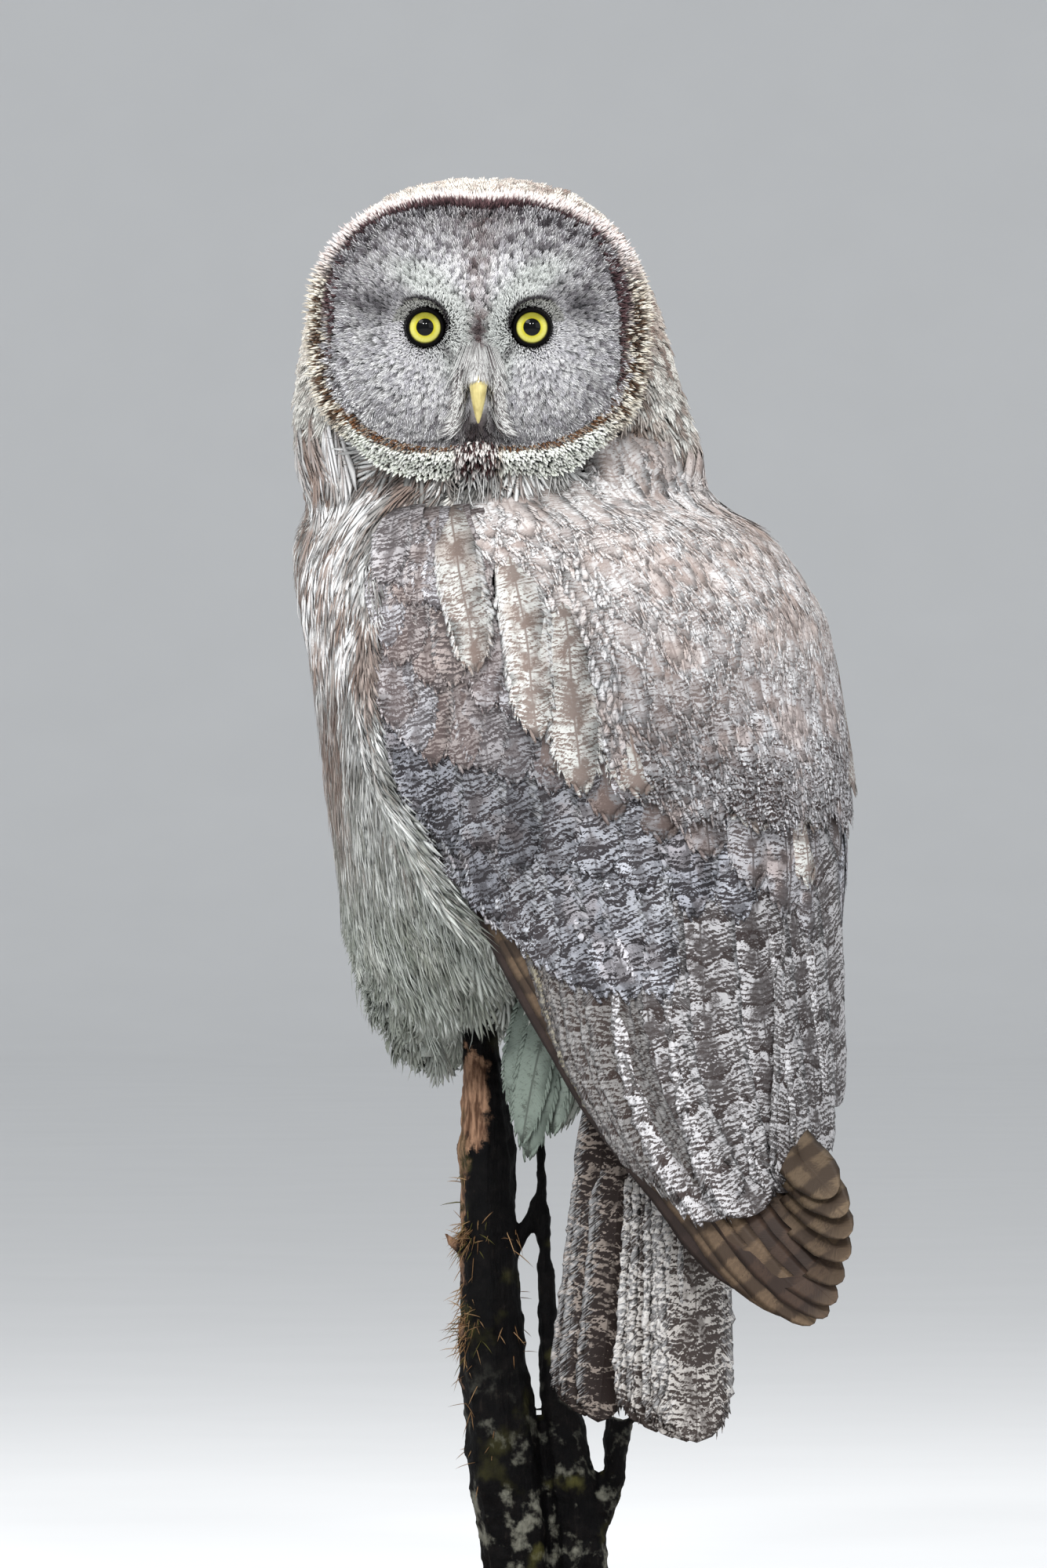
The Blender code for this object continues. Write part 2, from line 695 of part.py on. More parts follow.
def tail_form():
    """The tail's root with twelve tail feathers and the coverts under it."""
    root = ball("tail", bird(66, 0, 342) / MM, (21, 21, 25), 10, 16)
    pieces = [ball("vent", bird(36, 0, 350) / MM, (28, 28, 20), 8, 16)]
    for side in (1, -1):
        for k in range(6):
            spread = 5.0 + 9.6 * k
            left = side * spread
            tip_back = 81.0 - 0.0085 * spread**2 - 1.7 * k
            tip_z = 113.5 + 2.6 * k + 0.35 * k * k
            blade_root = (70.0 - 2.0 * k, side * (1.8 + 2.2 * k), 336.0)
            tilt = -side * 0.10 - side * 0.006 * spread
            blade_tip = (tip_back, left, tip_z)
            bow = 3.0
            shift = 0.7 if side > 0 else -0.5
            blade_tip = (tip_back + shift, left, tip_z)
            pieces.append(tail_blade(blade_root, blade_tip, 39 - 2.6 * k, bow, FULL_TIP, tilt))
        for k, (back, left, tip_z) in enumerate(((6, 31, 252), (10, 18, 262), (24, 9, 272))):
            start = (30 + 4 * k, side * (17 - 5 * k), 346)
            end = (back, side * left, tip_z)
            pieces.append(tail_blade(start, end, 24, 2.0, WIDE_TIP, 0.0))
    combine(root, "UNION", pieces)
    return root


# ---------------------------------------------------------------- legs, feet and claws


def foot_plan(side):
    """Where one foot stands on the branch: its middle, and the directions of its four toes."""
    middle = Vector((STEM_X, STEM_Y)) + Vector((-0.707, -0.707)) * 12.0 * side
    heading = 225 if side > 0 else 45
    return middle, [math.radians(heading + spread) for spread in (-62, -22, 22, 62)]


def foot_hollow(name, swell=0.0):
    """The hollow in the belly's plumage round the legs and the branch's top."""
    centre = (STEM_X, STEM_Y, PERCH_TOP_Z - 3)
    return ball(name, centre, (35 + swell, 35 + swell, 30 + swell), 10, 20)


TOE_RADIUS = 4.2
STEM_TOP_RADIUS = 16.0


def toe_path(direction):
    """A toe's line over the branch's top and down its side, in millimetres."""
    reach = STEM_TOP_RADIUS + TOE_RADIUS + 1.6
    out = Vector((math.cos(direction), math.sin(direction), 0))
    centre = Vector((STEM_X, STEM_Y, 0))
    top = PERCH_TOP_Z + TOE_RADIUS + 1.2
    steps = ((0.32, top + 1.5), (0.62, top + 0.6), (0.90, top - 2.4), (1.0, top - 9.0), (1.0, top - 15.0))
    return [centre + out * reach * share + Vector((0, 0, height)) for share, height in steps]


# ---------------------------------------------------------------- perch


MAIN_STEM = (
    (-47, 15, 349, 15.5),
    (-46, 15, 338, 14.0),
    (-46, 15, 322, 9.0),
    (-45, 15, 300, 9.6),
    (-43, 15, 278, 12.0),
    (-42, 15, 255, 14.6),
    (-41, 15, 220, 14.8),
    (-41, 15, 185, 15.6),
    (-39, 15, 150, 17.0),
    (-35, 15, 118, 18.6),
    (-32, 15, 90, 19.0),
    (-28, 15, 62, 17.5),
    (-26, 15, 40, 17.0),
)
SECOND_STEM = (
    (-16, 24, 262, 2.6),
    (-15, 23, 240, 3.6),
    (-14, 22, 205, 4.4),
    (-12, 20, 170, 5.4),
    (-8, 18, 142, 9.5),
    (-4, 17, 118, 11.0),
    (0, 16, 88, 12.6),
    (4, 16, 60, 13.5),
    (5, 16, 40, 14.0),
)
CROSS_TWIG = ((-14, 22, 238, 3.4), (-20, 20, 222, 3.6), (-26, 18, 208, 4.0), (-34, 16, 192, 4.2))
STUB = ((24, 19, 121, 8.0), (21, 19, 108, 6.6), (20, 18, 92, 6.4), (14, 17, 74, 7.4), (6, 16, 58, 8.0))


def perch_form():
    """A cut length of the broken, forked branch, with flat cut ends for the stand's rods."""
    stems = []
    for name, rows in (("stem", MAIN_STEM), ("second", SECOND_STEM), ("twig", CROSS_TWIG), ("stub", STUB)):
        bark = [row[3] * random.uniform(0.96, 1.05) for row in rows]
        stems.append(tube(name, [row[:3] for row in rows], bark, 2))
    stems.append(tube("snag", ((-54, 12, 205), (-60, 8, 209), (-63, 6, 214)), (4.0, 3.0, 0.8), 2))
    stems.append(tube("knot", ((20, 18, 117), (32, 14, 122), (38, 12, 119)), (4.0, 3.0, 1.2), 2))
    branch = stems.pop(0)
    combine(branch, "UNION", stems)
    cut = block("cut", (-120, -120, -20), (120, 120, PERCH_CUT_Z))
    combine(branch, "DIFFERENCE", [cut])
    return keep_largest(branch)


# ---------------------------------------------------------------- finishes


FINISHES = {
    "plumage_grey": ((0.46, 0.43, 0.42), 0.9),
    "plumage_pale": ((0.60, 0.57, 0.55), 0.9),
    "flight_feather": ((0.33, 0.29, 0.28), 0.8),
    "disc_feather": ((0.42, 0.41, 0.41), 0.9),
    "eye": ((0.75, 0.62, 0.08), 0.08),
    "bill_horn": ((0.62, 0.52, 0.22), 0.4),
    "claw_horn": ((0.03, 0.03, 0.03), 0.3),
    "bark": ((0.09, 0.07, 0.06), 0.9),
    "stand_wood": ((0.16, 0.10, 0.06), 0.4),
    "stand_steel": ((0.45, 0.45, 0.46), 0.3),
}


def finish(made, name, kind):
    """Names the object, gives it its finish and puts it in the owl's collection."""
    made.name = name
    made.data.name = name
    material = bpy.data.materials.get(kind)
    if material is None:
        material = bpy.data.materials.new(kind)
        material.use_nodes = True
        colour, roughness = FINISHES[kind]
        shader = material.node_tree.nodes["Principled BSDF"]
        shader.inputs["Base Color"].default_value = (*colour, 1.0)
        shader.inputs["Roughness"].default_value = roughness
        shader.inputs["Metallic"].default_value = 1.0 if kind == "stand_steel" else 0.0
    made.data.materials.clear()
    made.data.materials.append(material)
    made.data.shade_smooth()
    made.data.set_sharp_from_angle(angle=math.radians(40))
    return made


# ---------------------------------------------------------------- the whole bird


def build_flesh():
    """The head and torso, modelled as one form and parted at the neck."""
    torso = torso_form()
    wing_room = copy_of(torso, "wing_room", GAP + 0.1)
    neck_room = copy_of(torso, "neck_room")
    head = head_form()
    whole = copy_of(head, "whole")
    below = block("below", (-400, -400, 200), (400, 400, NECK_CUT_Z - GAP / 2))
    combine(torso, "UNION", [whole])
    combine(torso, "INTERSECT", [below])
    above = block("above", (-400, FACE_PLANE_Y, NECK_CUT_Z + GAP / 2), (400, 400, 800))
    combine(head, "UNION", [neck_room])
    combine(head, "INTERSECT", [above])
    foot_room = foot_hollow("foot_room")
    locks = [skirt_lock(index, 13) for index in range(13)]
    combine(torso, "UNION", locks)
    combine(torso, "DIFFERENCE", [foot_room])
    keep_largest(torso)
    keep_largest(head)
    finish(torso, "torso", "plumage_pale")
    finish(head, "head", "plumage_grey")
    return wing_room


def build_face():
    """The facial disc with its lids, both eyes and both halves of the bill."""
    disc = disc_form()
    combine(disc, "UNION", [lid(side) for side in (1, -1)])
    sockets = [ball("socket", eye_centre(side), (EYE_RADIUS + GAP,) * 3, 10, 16) for side in (1, -1)]
    upper_room = bill("upper_room", *UPPER_BILL, [r + GAP for r in UPPER_RADII])
    lower_room = bill("lower_room", *LOWER_BILL, [r + GAP for r in LOWER_RADII])
    upper = bill("bill_upper", *UPPER_BILL, UPPER_RADII)
    lower = bill("bill_lower", *LOWER_BILL, LOWER_RADII)
    combine(disc, "DIFFERENCE", [*sockets, copy_of(upper_room, "upper_cut"), lower_room])
    combine(lower, "DIFFERENCE", [upper_room])
    behind = (FACE_X - 200, FACE_PLANE_Y - GAP, 400)
    shave = block("shave", behind, (FACE_X + 200, 400, 900))
    combine(disc, "DIFFERENCE", [shave])
    finish(keep_largest(disc), "facial_disc", "disc_feather")
    finish(upper, "bill_upper", "bill_horn")
    finish(keep_largest(lower), "bill_lower", "bill_horn")
    for side, name in ((1, "eye_left"), (-1, "eye_right")):
        eye = ball(name, eye_centre(side), (EYE_RADIUS,) * 3, 10, 16)
        finish(eye, name, "eye")


def build_wings(room):
    """Both folded wings, each fused from its slab and feathers and cut clear of the torso."""
    for side, name in ((1, "wing_left"), (-1, "wing_right")):
        wing = wing_core(side)
        combine(wing, "UNION", wing_vanes(side))
        combine(wing, "DIFFERENCE", [copy_of(room, "room")])
        finish(keep_largest(wing, 2.0), name, "flight_feather")


def build_tail(room):
    """The tail, cut clear of the torso."""
    tail = tail_form()
    combine(tail, "DIFFERENCE", [copy_of(room, "room")])
    finish(keep_largest(tail), "tail", "flight_feather")


def build_feet():
    """Feathered legs and toes, and eight claws, gripping the branch's broken top."""
    for side, word in ((1, "left"), (-1, "right")):
        middle, directions = foot_plan(side)
        top = Vector((middle.x, middle.y, PERCH_TOP_Z + 9))
        toes = []
        for number, direction in enumerate(directions, 1):
            path = toe_path(direction)
            toes.append(tube("toe", [top, *path[1:]], (5.0, 4.5, 4.3, 4.1, 3.7), 1))
            start = path[-1]
            out = Vector((math.cos(direction), math.sin(direction), 0))
            curl = ((0.0, 0.8), (0.2, 6.0), (1.4, 12.0), (3.0, 16.0))
            hook = [start - out * inward - Vector((0, 0, drop)) for inward, drop in curl]
            claw = tube("claw", hook, (2.5, 2.0, 1.2, 0.4), 1)
            finish(claw, f"claw_{word}_{number}", "claw_horn")
        foot = ball("foot", top, (9.0, 9.0, 6.4), 6, 10)
        combine(foot, "UNION", toes)
        finish(keep_largest(foot), f"foot_{word}", "plumage_pale")
        hip = Vector((middle.x, middle.y, PERCH_TOP_Z + 40))
        leg = tube("leg", (top + Vector((0, 0, 6.8)), top.lerp(hip, 0.5), hip), (7.4, 8.6, 11.0), 2)
        combine(leg, "INTERSECT", [foot_hollow("leg_room", -GAP)])
        finish(leg, f"leg_{word}", "plumage_pale")


def build_stand():
    """A round base with a softened edge and two short rods under the branch's cut end."""
    bpy.ops.mesh.primitive_cylinder_add(
        vertices=56, radius=BASE_RADIUS * MM, depth=BASE_THICK * MM, location=(0, 0, BASE_THICK * MM / 2)
    )
    base = bpy.context.object
    soften = base.modifiers.new("soften", "BEVEL")
    soften.width = 3 * MM
    soften.segments = 1
    finish(base, "stand_base", "stand_wood")
    for number, (x, y) in enumerate(ROD_PLACES, 1):
        low, high = BASE_THICK + GAP, PERCH_CUT_Z - GAP
        bpy.ops.mesh.primitive_cylinder_add(
            vertices=20, radius=ROD_RADIUS * MM, depth=(high - low) * MM,
            location=(x * MM, y * MM, (low + high) / 2 * MM),
        )
        finish(bpy.context.object, f"stand_rod_{number}", "stand_steel")


def main():
    """Clears the scene and builds the owl, its perch and its stand."""
    for old in list(bpy.data.objects):
        bpy.data.objects.remove(old)
    random.seed(17)
    room = build_flesh()
    build_face()
    build_wings(room)
    build_tail(room)
    bpy.data.objects.remove(room)
    build_feet()
    finish(perch_form(), "perch", "bark")
    build_stand()
    owl = bpy.data.collections.new("great_grey_owl")
    bpy.context.scene.collection.children.link(owl)
    for made in list(bpy.context.scene.collection.objects):
        bpy.context.scene.collection.objects.unlink(made)
        owl.objects.link(made)


main()
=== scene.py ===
"""Dresses the great grey owl: skin, plumage, eyes, bill, claws, branch and stand, in a plain studio.

Sizes are in millimetres until a mesh is made, and a mesh is in metres, +Z up.
"""

import sys

import logging
import math
from dataclasses import dataclass, replace
from enum import Enum
from typing import Callable, Optional, Sequence, Union

import bpy
import numpy as np
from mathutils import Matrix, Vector
from mathutils.bvhtree import BVHTree
from mathutils.kdtree import KDTree

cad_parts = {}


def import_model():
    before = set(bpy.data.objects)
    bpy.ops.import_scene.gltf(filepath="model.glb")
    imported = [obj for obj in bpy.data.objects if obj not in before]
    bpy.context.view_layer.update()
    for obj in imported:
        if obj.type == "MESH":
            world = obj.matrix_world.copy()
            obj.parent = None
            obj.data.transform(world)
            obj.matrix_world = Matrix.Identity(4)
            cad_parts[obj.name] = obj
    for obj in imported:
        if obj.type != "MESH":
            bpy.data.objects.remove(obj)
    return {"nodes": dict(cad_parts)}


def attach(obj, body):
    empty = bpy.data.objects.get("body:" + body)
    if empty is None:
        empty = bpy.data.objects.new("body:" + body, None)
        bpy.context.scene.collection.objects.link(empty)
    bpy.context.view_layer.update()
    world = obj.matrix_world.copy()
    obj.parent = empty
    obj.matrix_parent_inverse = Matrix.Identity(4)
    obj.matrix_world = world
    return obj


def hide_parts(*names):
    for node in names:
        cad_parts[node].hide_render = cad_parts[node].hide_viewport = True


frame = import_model()

LOG = logging.getLogger("owl")
MM = 0.001
HALF = math.sqrt(0.5)
Array = np.ndarray
Colour = tuple[float, float, float]


# ------------------------------------------------------------------ numbers


def paint(red: float, green: float, blue: float) -> Array:
    """A display colour of 0 to 255 as linear light."""
    share = np.array((red, green, blue), float) / 255
    return np.where(share <= 0.04045, share / 12.92, ((share + 0.055) / 1.055) ** 2.4)


def step(value: Array, low: float, high: float) -> Array:
    """A soft step from 0 at low to 1 at high."""
    t = np.clip((value - low) / (high - low), 0, 1)
    return t * t * (3 - 2 * t)


def bump(value: Array, middle: float, reach: float) -> Array:
    """A soft hill of height 1 at middle."""
    return np.exp(-(((value - middle) / reach) ** 2))


def blend(first: Array, second: Array, share: Array) -> Array:
    """Colours mixed point by point."""
    share = np.asarray(share)[..., None]
    return first * (1 - share) + second * share


def between(first: Sequence[float], second: Sequence[float], share: Array) -> Array:
    """Colours from one display colour to another, point by point."""
    return blend(paint(*first), paint(*second), share)


def beside(*parts: Union[float, Array]) -> Array:
    """Numbers side by side, each part one for all rows or one for each."""
    return np.stack(np.broadcast_arrays(*parts), -1)


def unit(vectors: Array) -> Array:
    """The vectors at length 1."""
    return vectors / np.maximum(np.linalg.norm(vectors, axis=-1, keepdims=True), 1e-9)


def _hash(cell: Array, seed: int) -> Array:
    """A fixed number of 0 to 1 for each whole-numbered cell."""
    mixed = cell[..., 0] * 73856093 ^ cell[..., 1] * 19349663 ^ cell[..., 2] * 83492791 ^ (seed * 2654435)
    mixed = (mixed ^ (mixed >> 13)) * 1274126177 & 0x7FFFFFFF
    return ((mixed ^ (mixed >> 16)) & 0xFFFF) / 65535.0


def noise(points: Array, size: Union[float, Sequence[float]], seed: int = 0) -> Array:
    """Smooth seeded noise of 0 to 1.

    Args:
        points: Places, three numbers each.
        size: The width of one patch, along each axis or alike.
        seed: Which pattern.

    Returns:
        One number for each place.
    """
    scaled = np.asarray(points, float) / np.array(size) + 1000.0
    cell = np.floor(scaled).astype(np.int64)
    part = scaled - cell
    part = part * part * (3 - 2 * part)
    total = np.zeros(scaled.shape[:-1])
    for corner in range(8):
        offset = np.array((corner & 1, corner >> 1 & 1, corner >> 2 & 1))
        weight = np.prod(np.where(offset, part, 1 - part), axis=-1)
        total += weight * _hash(cell + offset, seed)
    return total


class Side(Enum):
    """A side of the bird."""

    LEFT = 1
    RIGHT = -1


# ------------------------------------------------------------------ the bird's own directions


def world(back: Array, left: Array, height: Array) -> Array:
    """Places by their distance to the bird's back, to its left and up."""
    return beside(back * HALF - left * HALF, -back * HALF - left * HALF, height)


def body_axes(points: Array) -> tuple[Array, Array]:
    """How far places lie to the bird's back and to its left."""
    return (points[..., 0] - points[..., 1]) * HALF, -(points[..., 0] + points[..., 1]) * HALF


class Rows:
    """A table of section sizes by height, read on a smooth curve through its rows."""

    def __init__(self, table: Sequence[Sequence[float]]) -> None:
        """Keeps the rows from low to high with their slopes."""
        rows = np.array(sorted(table), float)
        self.height, self.value = rows[:, 0], rows[:, 1:]
        before = np.maximum(np.arange(len(rows)) - 1, 0)
        after = np.minimum(np.arange(len(rows)) + 1, len(rows) - 1)
        rise = (self.height[after] - self.height[before])[:, None]
        self.slope = (self.value[after] - self.value[before]) / rise

    def at(self, height: Array) -> list[Array]:
        """The table's columns at these heights."""
        height = np.clip(height, self.height[0], self.height[-1])
        low = np.clip(np.searchsorted(self.height, height) - 1, 0, len(self.height) - 2)
        span = (self.height[low + 1] - self.height[low])[..., None]
        t = (height - self.height[low])[..., None] / span
        values = self.value[low] * (2 * t**3 - 3 * t**2 + 1)
        values = values + self.slope[low] * span * (t**3 - 2 * t**2 + t)
        values = values + self.value[low + 1] * (3 * t**2 - 2 * t**3)
        values = values + self.slope[low + 1] * span * (t**3 - t**2)
        return [values[..., column] for column in range(values.shape[-1])]


WING = Rows(
    (
        (588, -42, 92, 92, 62), (569, -40, 108, 106, 72), (549, -32, 116, 121, 80), (530, -25, 124, 131, 84),
        (511, -18, 126, 138, 87), (472, -8, 127, 137, 92), (434, 0, 125, 140, 92), (395, 8, 121, 138, 85),
        (376, 14, 118, 130, 82), (357, 22, 112, 122, 79), (338, 32, 106, 112, 77), (318, 42, 100, 102, 74),
        (299, 52, 94, 94, 72), (280, 64, 84, 83, 73), (261, 78, 72, 70, 76), (241, 96, 58, 54, 81),
        (230, 108, 50, 46, 86), (203, 138, 34, 30, 104), (184, 152, 19, 18, 104), (172, 162, 10, 12, 104),
    )
)


class WingFace:
    """The outer face of a folded wing, by degrees round from the back and height."""

    @staticmethod
    def flat(angle: Array, height: Array) -> Array:
        """Places on the left wing's face as back, left and height."""
        middle, half_width, depth, _ = WING.at(height)
        turn = np.radians(angle)
        return beside(middle + depth * np.cos(turn), half_width * np.sin(turn), height)

    @classmethod
    def normal(cls, angle: Array, height: Array) -> Array:
        """The face's outward direction as back, left and up."""
        turned = cls.flat(angle + 1, height) - cls.flat(angle - 1, height)
        raised = cls.flat(angle, height + 2) - cls.flat(angle, height - 2)
        return unit(np.cross(turned, raised))

    @classmethod
    def place(cls, side: Side, angle: Array, height: Array, out: Array) -> tuple[Array, Array]:
        """Places this far out of a wing's face, and the directions out of it there."""
        normal = cls.normal(angle, height)
        at = cls.flat(angle, height) + normal * np.asarray(out)[..., None]
        sign = side.value
        if side is Side.RIGHT:
            at[..., 1] = np.maximum(at[..., 1], 0.5)
        return (
            world(at[..., 0], sign * at[..., 1], at[..., 2]),
            world(normal[..., 0], sign * normal[..., 1], normal[..., 2]),
        )

    @staticmethod
    def seen(x: Array, height: Array) -> Array:
        """Degrees round from the back where the left wing's face has this x at this height."""
        middle, half_width, depth, _ = WING.at(height)
        lean = np.arctan2(half_width, depth)
        return np.degrees(np.arccos(np.clip((x / HALF - middle) / np.hypot(half_width, depth), -1, 1)) - lean)

    @staticmethod
    def inset(height: Array, distance: Array) -> Array:
        """Degrees round from the back, this far behind the leading edge."""
        _, half_width, depth, edge = WING.at(height)
        return edge - np.degrees(distance / ((half_width + depth) / 2))


# ------------------------------------------------------------------ the face's form


@dataclass(frozen=True)
class Face:
    """The facial disc's place and sizes."""

    x: float = -46.0
    z: float = 655.0
    plane_y: float = -36.0
    half_width: float = 84.0
    half_height: float = 66.0
    chin_drop: float = 67.0  # reach down from the middle
    squareness: float = 2.45
    eye_x: float = 26.0  # each eye's distance from the disc's middle plane
    eye_rise: float = 1.0  # height of the eyes over the disc's middle
    eye_y: float = -50.0
    eye_radius: float = 11.5

    @classmethod
    def outline(cls, angle: Array) -> Array:
        """The disc's reach from its middle in a direction, 0 along +X and a quarter turn up."""
        side, rise = np.cos(angle), np.sin(angle)
        height = np.where(rise > 0, cls.half_height, cls.chin_drop)
        power = cls.squareness
        reach = (np.abs(side / cls.half_width) ** power + np.abs(rise / height) ** power) ** (-1 / power)
        return reach - 3.5 * bump(side, 0, 0.22)

    @classmethod
    def share(cls, x: Array, z: Array) -> Array:
        """How far out a place is on the disc, 1 on its outline."""
        return np.hypot(x, z) / cls.outline(np.arctan2(z, x))

    @classmethod
    def from_eye(cls, x: Array, z: Array) -> Array:
        """How far places on the disc lie from the nearer eye's middle."""
        return np.hypot(np.abs(x) - cls.eye_x, z - cls.eye_rise)

    @staticmethod
    def ring(x: Array, z: Array) -> tuple[Array, Array]:
        """The shares at which the ring round the disc starts and ends."""
        turn = np.degrees(np.arctan2(z, np.abs(x)))
        inner = np.interp(
            turn, (-90, -60, -35, -15, 0, 15, 30, 45, 60, 90),
            (0.865, 0.875, 0.885, 0.85, 0.81, 0.82, 0.87, 0.89, 0.90, 0.925),
        )
        outer = np.interp(
            turn, (-90, -50, -38, -15, 0, 30, 60, 90),
            (1.085, 1.075, 1.02, 0.965, 0.955, 0.965, 0.97, 0.995),
        )
        return inner + 0.025 * (x < 0) * np.cos(np.radians(turn)), outer

    @classmethod
    def depth(cls, x: Array, z: Array) -> Array:
        """How far the disc stands before its back plane at x and z from its middle."""
        share = np.minimum(cls.share(x, z), 1.02)
        socket = 7 * bump(cls.from_eye(x, z), 0, 17)
        ridge = 13.0 * bump(x, 0, 10) / (1 + np.exp((np.abs(z + 2) - 36) / 7))
        brow = 4.0 * bump(np.abs(x), 13, 9) * bump(z, 20, 13)
        cheek = 3.0 * bump(np.abs(x), 34, 22) * bump(z, -26, 18)
        rim = 8 * bump(share, 0.94, 0.055)
        return 9 + 18 * (1 - share**2) + ridge + brow - socket + cheek + rim

    def place(self, x: Array, z: Array, out: Array) -> tuple[Array, Array]:
        """Places on the disc, this far out of it, and the directions out of it there."""
        slope_x = self.depth(x + 0.5, z) - self.depth(x - 0.5, z)
        slope_z = self.depth(x, z + 0.5) - self.depth(x, z - 0.5)
        normal = unit(beside(-slope_x, -1.0, -slope_z))
        at = beside(self.x + x, self.plane_y - self.depth(x, z), self.z + z)
        return at + normal * np.asarray(out)[..., None], normal


FACE = Face()


# ------------------------------------------------------------------ the bench


class Bench:
    """Blender's own tools, used with only the piece in hand selected."""

    @staticmethod
    def pick(*pieces: bpy.types.Object) -> None:
        """Selects these pieces and nothing else, the first of them active."""
        if bpy.context.object and bpy.context.object.mode != "OBJECT":
            bpy.ops.object.mode_set(mode="OBJECT")
        bpy.ops.object.select_all(action="DESELECT")
        for piece in pieces:
            piece.select_set(True)
        bpy.context.view_layer.objects.active = pieces[0] if pieces else None

    @staticmethod
    def fresh(name: str) -> bpy.types.Object:
        """Names the primitive that was just added, with its place put in its mesh."""
        piece = bpy.context.object
        piece.name = piece.data.name = name
        bpy.ops.object.transform_apply(location=True, rotation=True, scale=True)
        return piece

    @staticmethod
    def edit(whole: bool = True) -> None:
        """Opens the active piece's mesh, with all of it selected or nothing."""
        bpy.ops.object.mode_set(mode="EDIT")
        bpy.ops.mesh.select_all(action="SELECT" if whole else "DESELECT")

    @staticmethod
    def close() -> None:
        """Ends the edit."""
        bpy.ops.object.mode_set(mode="OBJECT")

    @staticmethod
    def points(piece: bpy.types.Object) -> Array:
        """A piece's points, in metres."""
        flat = np.empty(len(piece.data.vertices) * 3)
        piece.data.vertices.foreach_get("co", flat)
        return flat.reshape(-1, 3)

    @staticmethod
    def stain(mesh: bpy.types.Mesh, label: str, tint: Array) -> None:
        """Gives a mesh a colour for each of its points, or one for all."""
        whole = np.ones((len(mesh.vertices), 4), np.float32)
        whole[:, :3] = tint
        mesh.attributes.new(label, "FLOAT_COLOR", "POINT").data.foreach_set("color", whole.ravel())

    @classmethod
    def copies(cls, name: str, *nodes: str) -> bpy.types.Object:
        """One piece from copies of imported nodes, with the loose triangles merged."""
        made = []
        for node in nodes:
            source = frame["nodes"][node]
            copy = bpy.data.objects.new(name, source.data.copy())
            bpy.context.scene.collection.objects.link(copy)
            made.append(copy)
        cls.pick(*made)
        if len(made) > 1:
            bpy.ops.object.join()
        piece = bpy.context.object
        piece.name = piece.data.name = name
        cls.edit()
        bpy.ops.mesh.remove_doubles(threshold=1e-5)
        cls.close()
        piece.data.materials.clear()
        return piece

    @classmethod
    def apply(cls, piece: bpy.types.Object, kind: str, **settings: object) -> None:
        """Adds one modifier with these settings and applies it."""
        cls.pick(piece)
        change = piece.modifiers.new(kind.lower(), kind)
        for name, value in settings.items():
            setattr(change, name, value)
        bpy.ops.object.modifier_apply(modifier=change.name)

    @classmethod
    def melt(cls, piece: bpy.types.Object, voxel: float, factor: float, rounds: int) -> None:
        """Makes one even surface of a piece, with cells this many millimetres wide, and smooths it."""
        cls.apply(piece, "REMESH", mode="VOXEL", voxel_size=voxel * MM)
        cls.apply(piece, "SMOOTH", factor=factor, iterations=rounds)

    @staticmethod
    def settle(piece: bpy.types.Object, finish: bpy.types.Material, slot: str, *nodes: str) -> None:
        """Gives a piece its finish and its body, and hides the nodes that it stands for."""
        piece.data.materials.clear()
        piece.data.materials.append(finish)
        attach(piece, "root")
        if nodes:
            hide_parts(*nodes)
        faces = sum(len(face.vertices) - 2 for face in piece.data.polygons)
        LOG.info("%s: %d triangles", piece.name, faces)


# ------------------------------------------------------------------ shader maths


class Signal:
    """A shader socket that Python's operators work on."""

    def __init__(self, graph: "Graph", socket: bpy.types.NodeSocket) -> None:
        """Keeps the socket and the graph that it belongs to."""
        self.graph, self.socket = graph, socket

    def _maths(self, kind: str, first: object, second: object) -> "Signal":
        """One Math node on two values."""
        return self.graph.node("ShaderNodeMath", {"operation": kind}, {0: first, 1: second})

    def __add__(self, other: object) -> "Signal":
        """self + other."""
        return self._maths("ADD", self, other)

    __radd__ = __add__

    def __sub__(self, other: object) -> "Signal":
        """self - other."""
        return self._maths("SUBTRACT", self, other)

    def __rsub__(self, other: object) -> "Signal":
        """other - self."""
        return self._maths("SUBTRACT", other, self)

    def __mul__(self, other: object) -> "Signal":
        """self * other."""
        return self._maths("MULTIPLY", self, other)

    __rmul__ = __mul__

    def __truediv__(self, other: object) -> "Signal":
        """self / other."""
        return self._maths("DIVIDE", self, other)

    def __pow__(self, other: object) -> "Signal":
        """self ** other."""
        return self._maths("POWER", self, other)

    def __abs__(self) -> "Signal":
        """The size of self."""
        return self._maths("ABSOLUTE", self, 0.0)

    def sine(self) -> "Signal":
        """The sine of self, in radians."""
        return self._maths("SINE", self, 0.0)

    def part(self) -> "Signal":
        """What is left of self over a whole number."""
        return self._maths("FRACT", self, 0.0)

    def most(self, other: object) -> "Signal":
        """The greater of self and other."""
        return self._maths("MAXIMUM", self, other)

    def soft(self, low: float, high: float) -> "Signal":
        """A soft step from 0 at low to 1 at high, or back where low is greater."""
        first, last, ends = (low, high, (0.0, 1.0)) if low < high else (high, low, (1.0, 0.0))
        settings = {"interpolation_type": "SMOOTHSTEP"}
        inputs = {0: self, 1: first, 2: last, 3: ends[0], 4: ends[1]}
        return self.graph.node("ShaderNodeMapRange", settings, inputs)


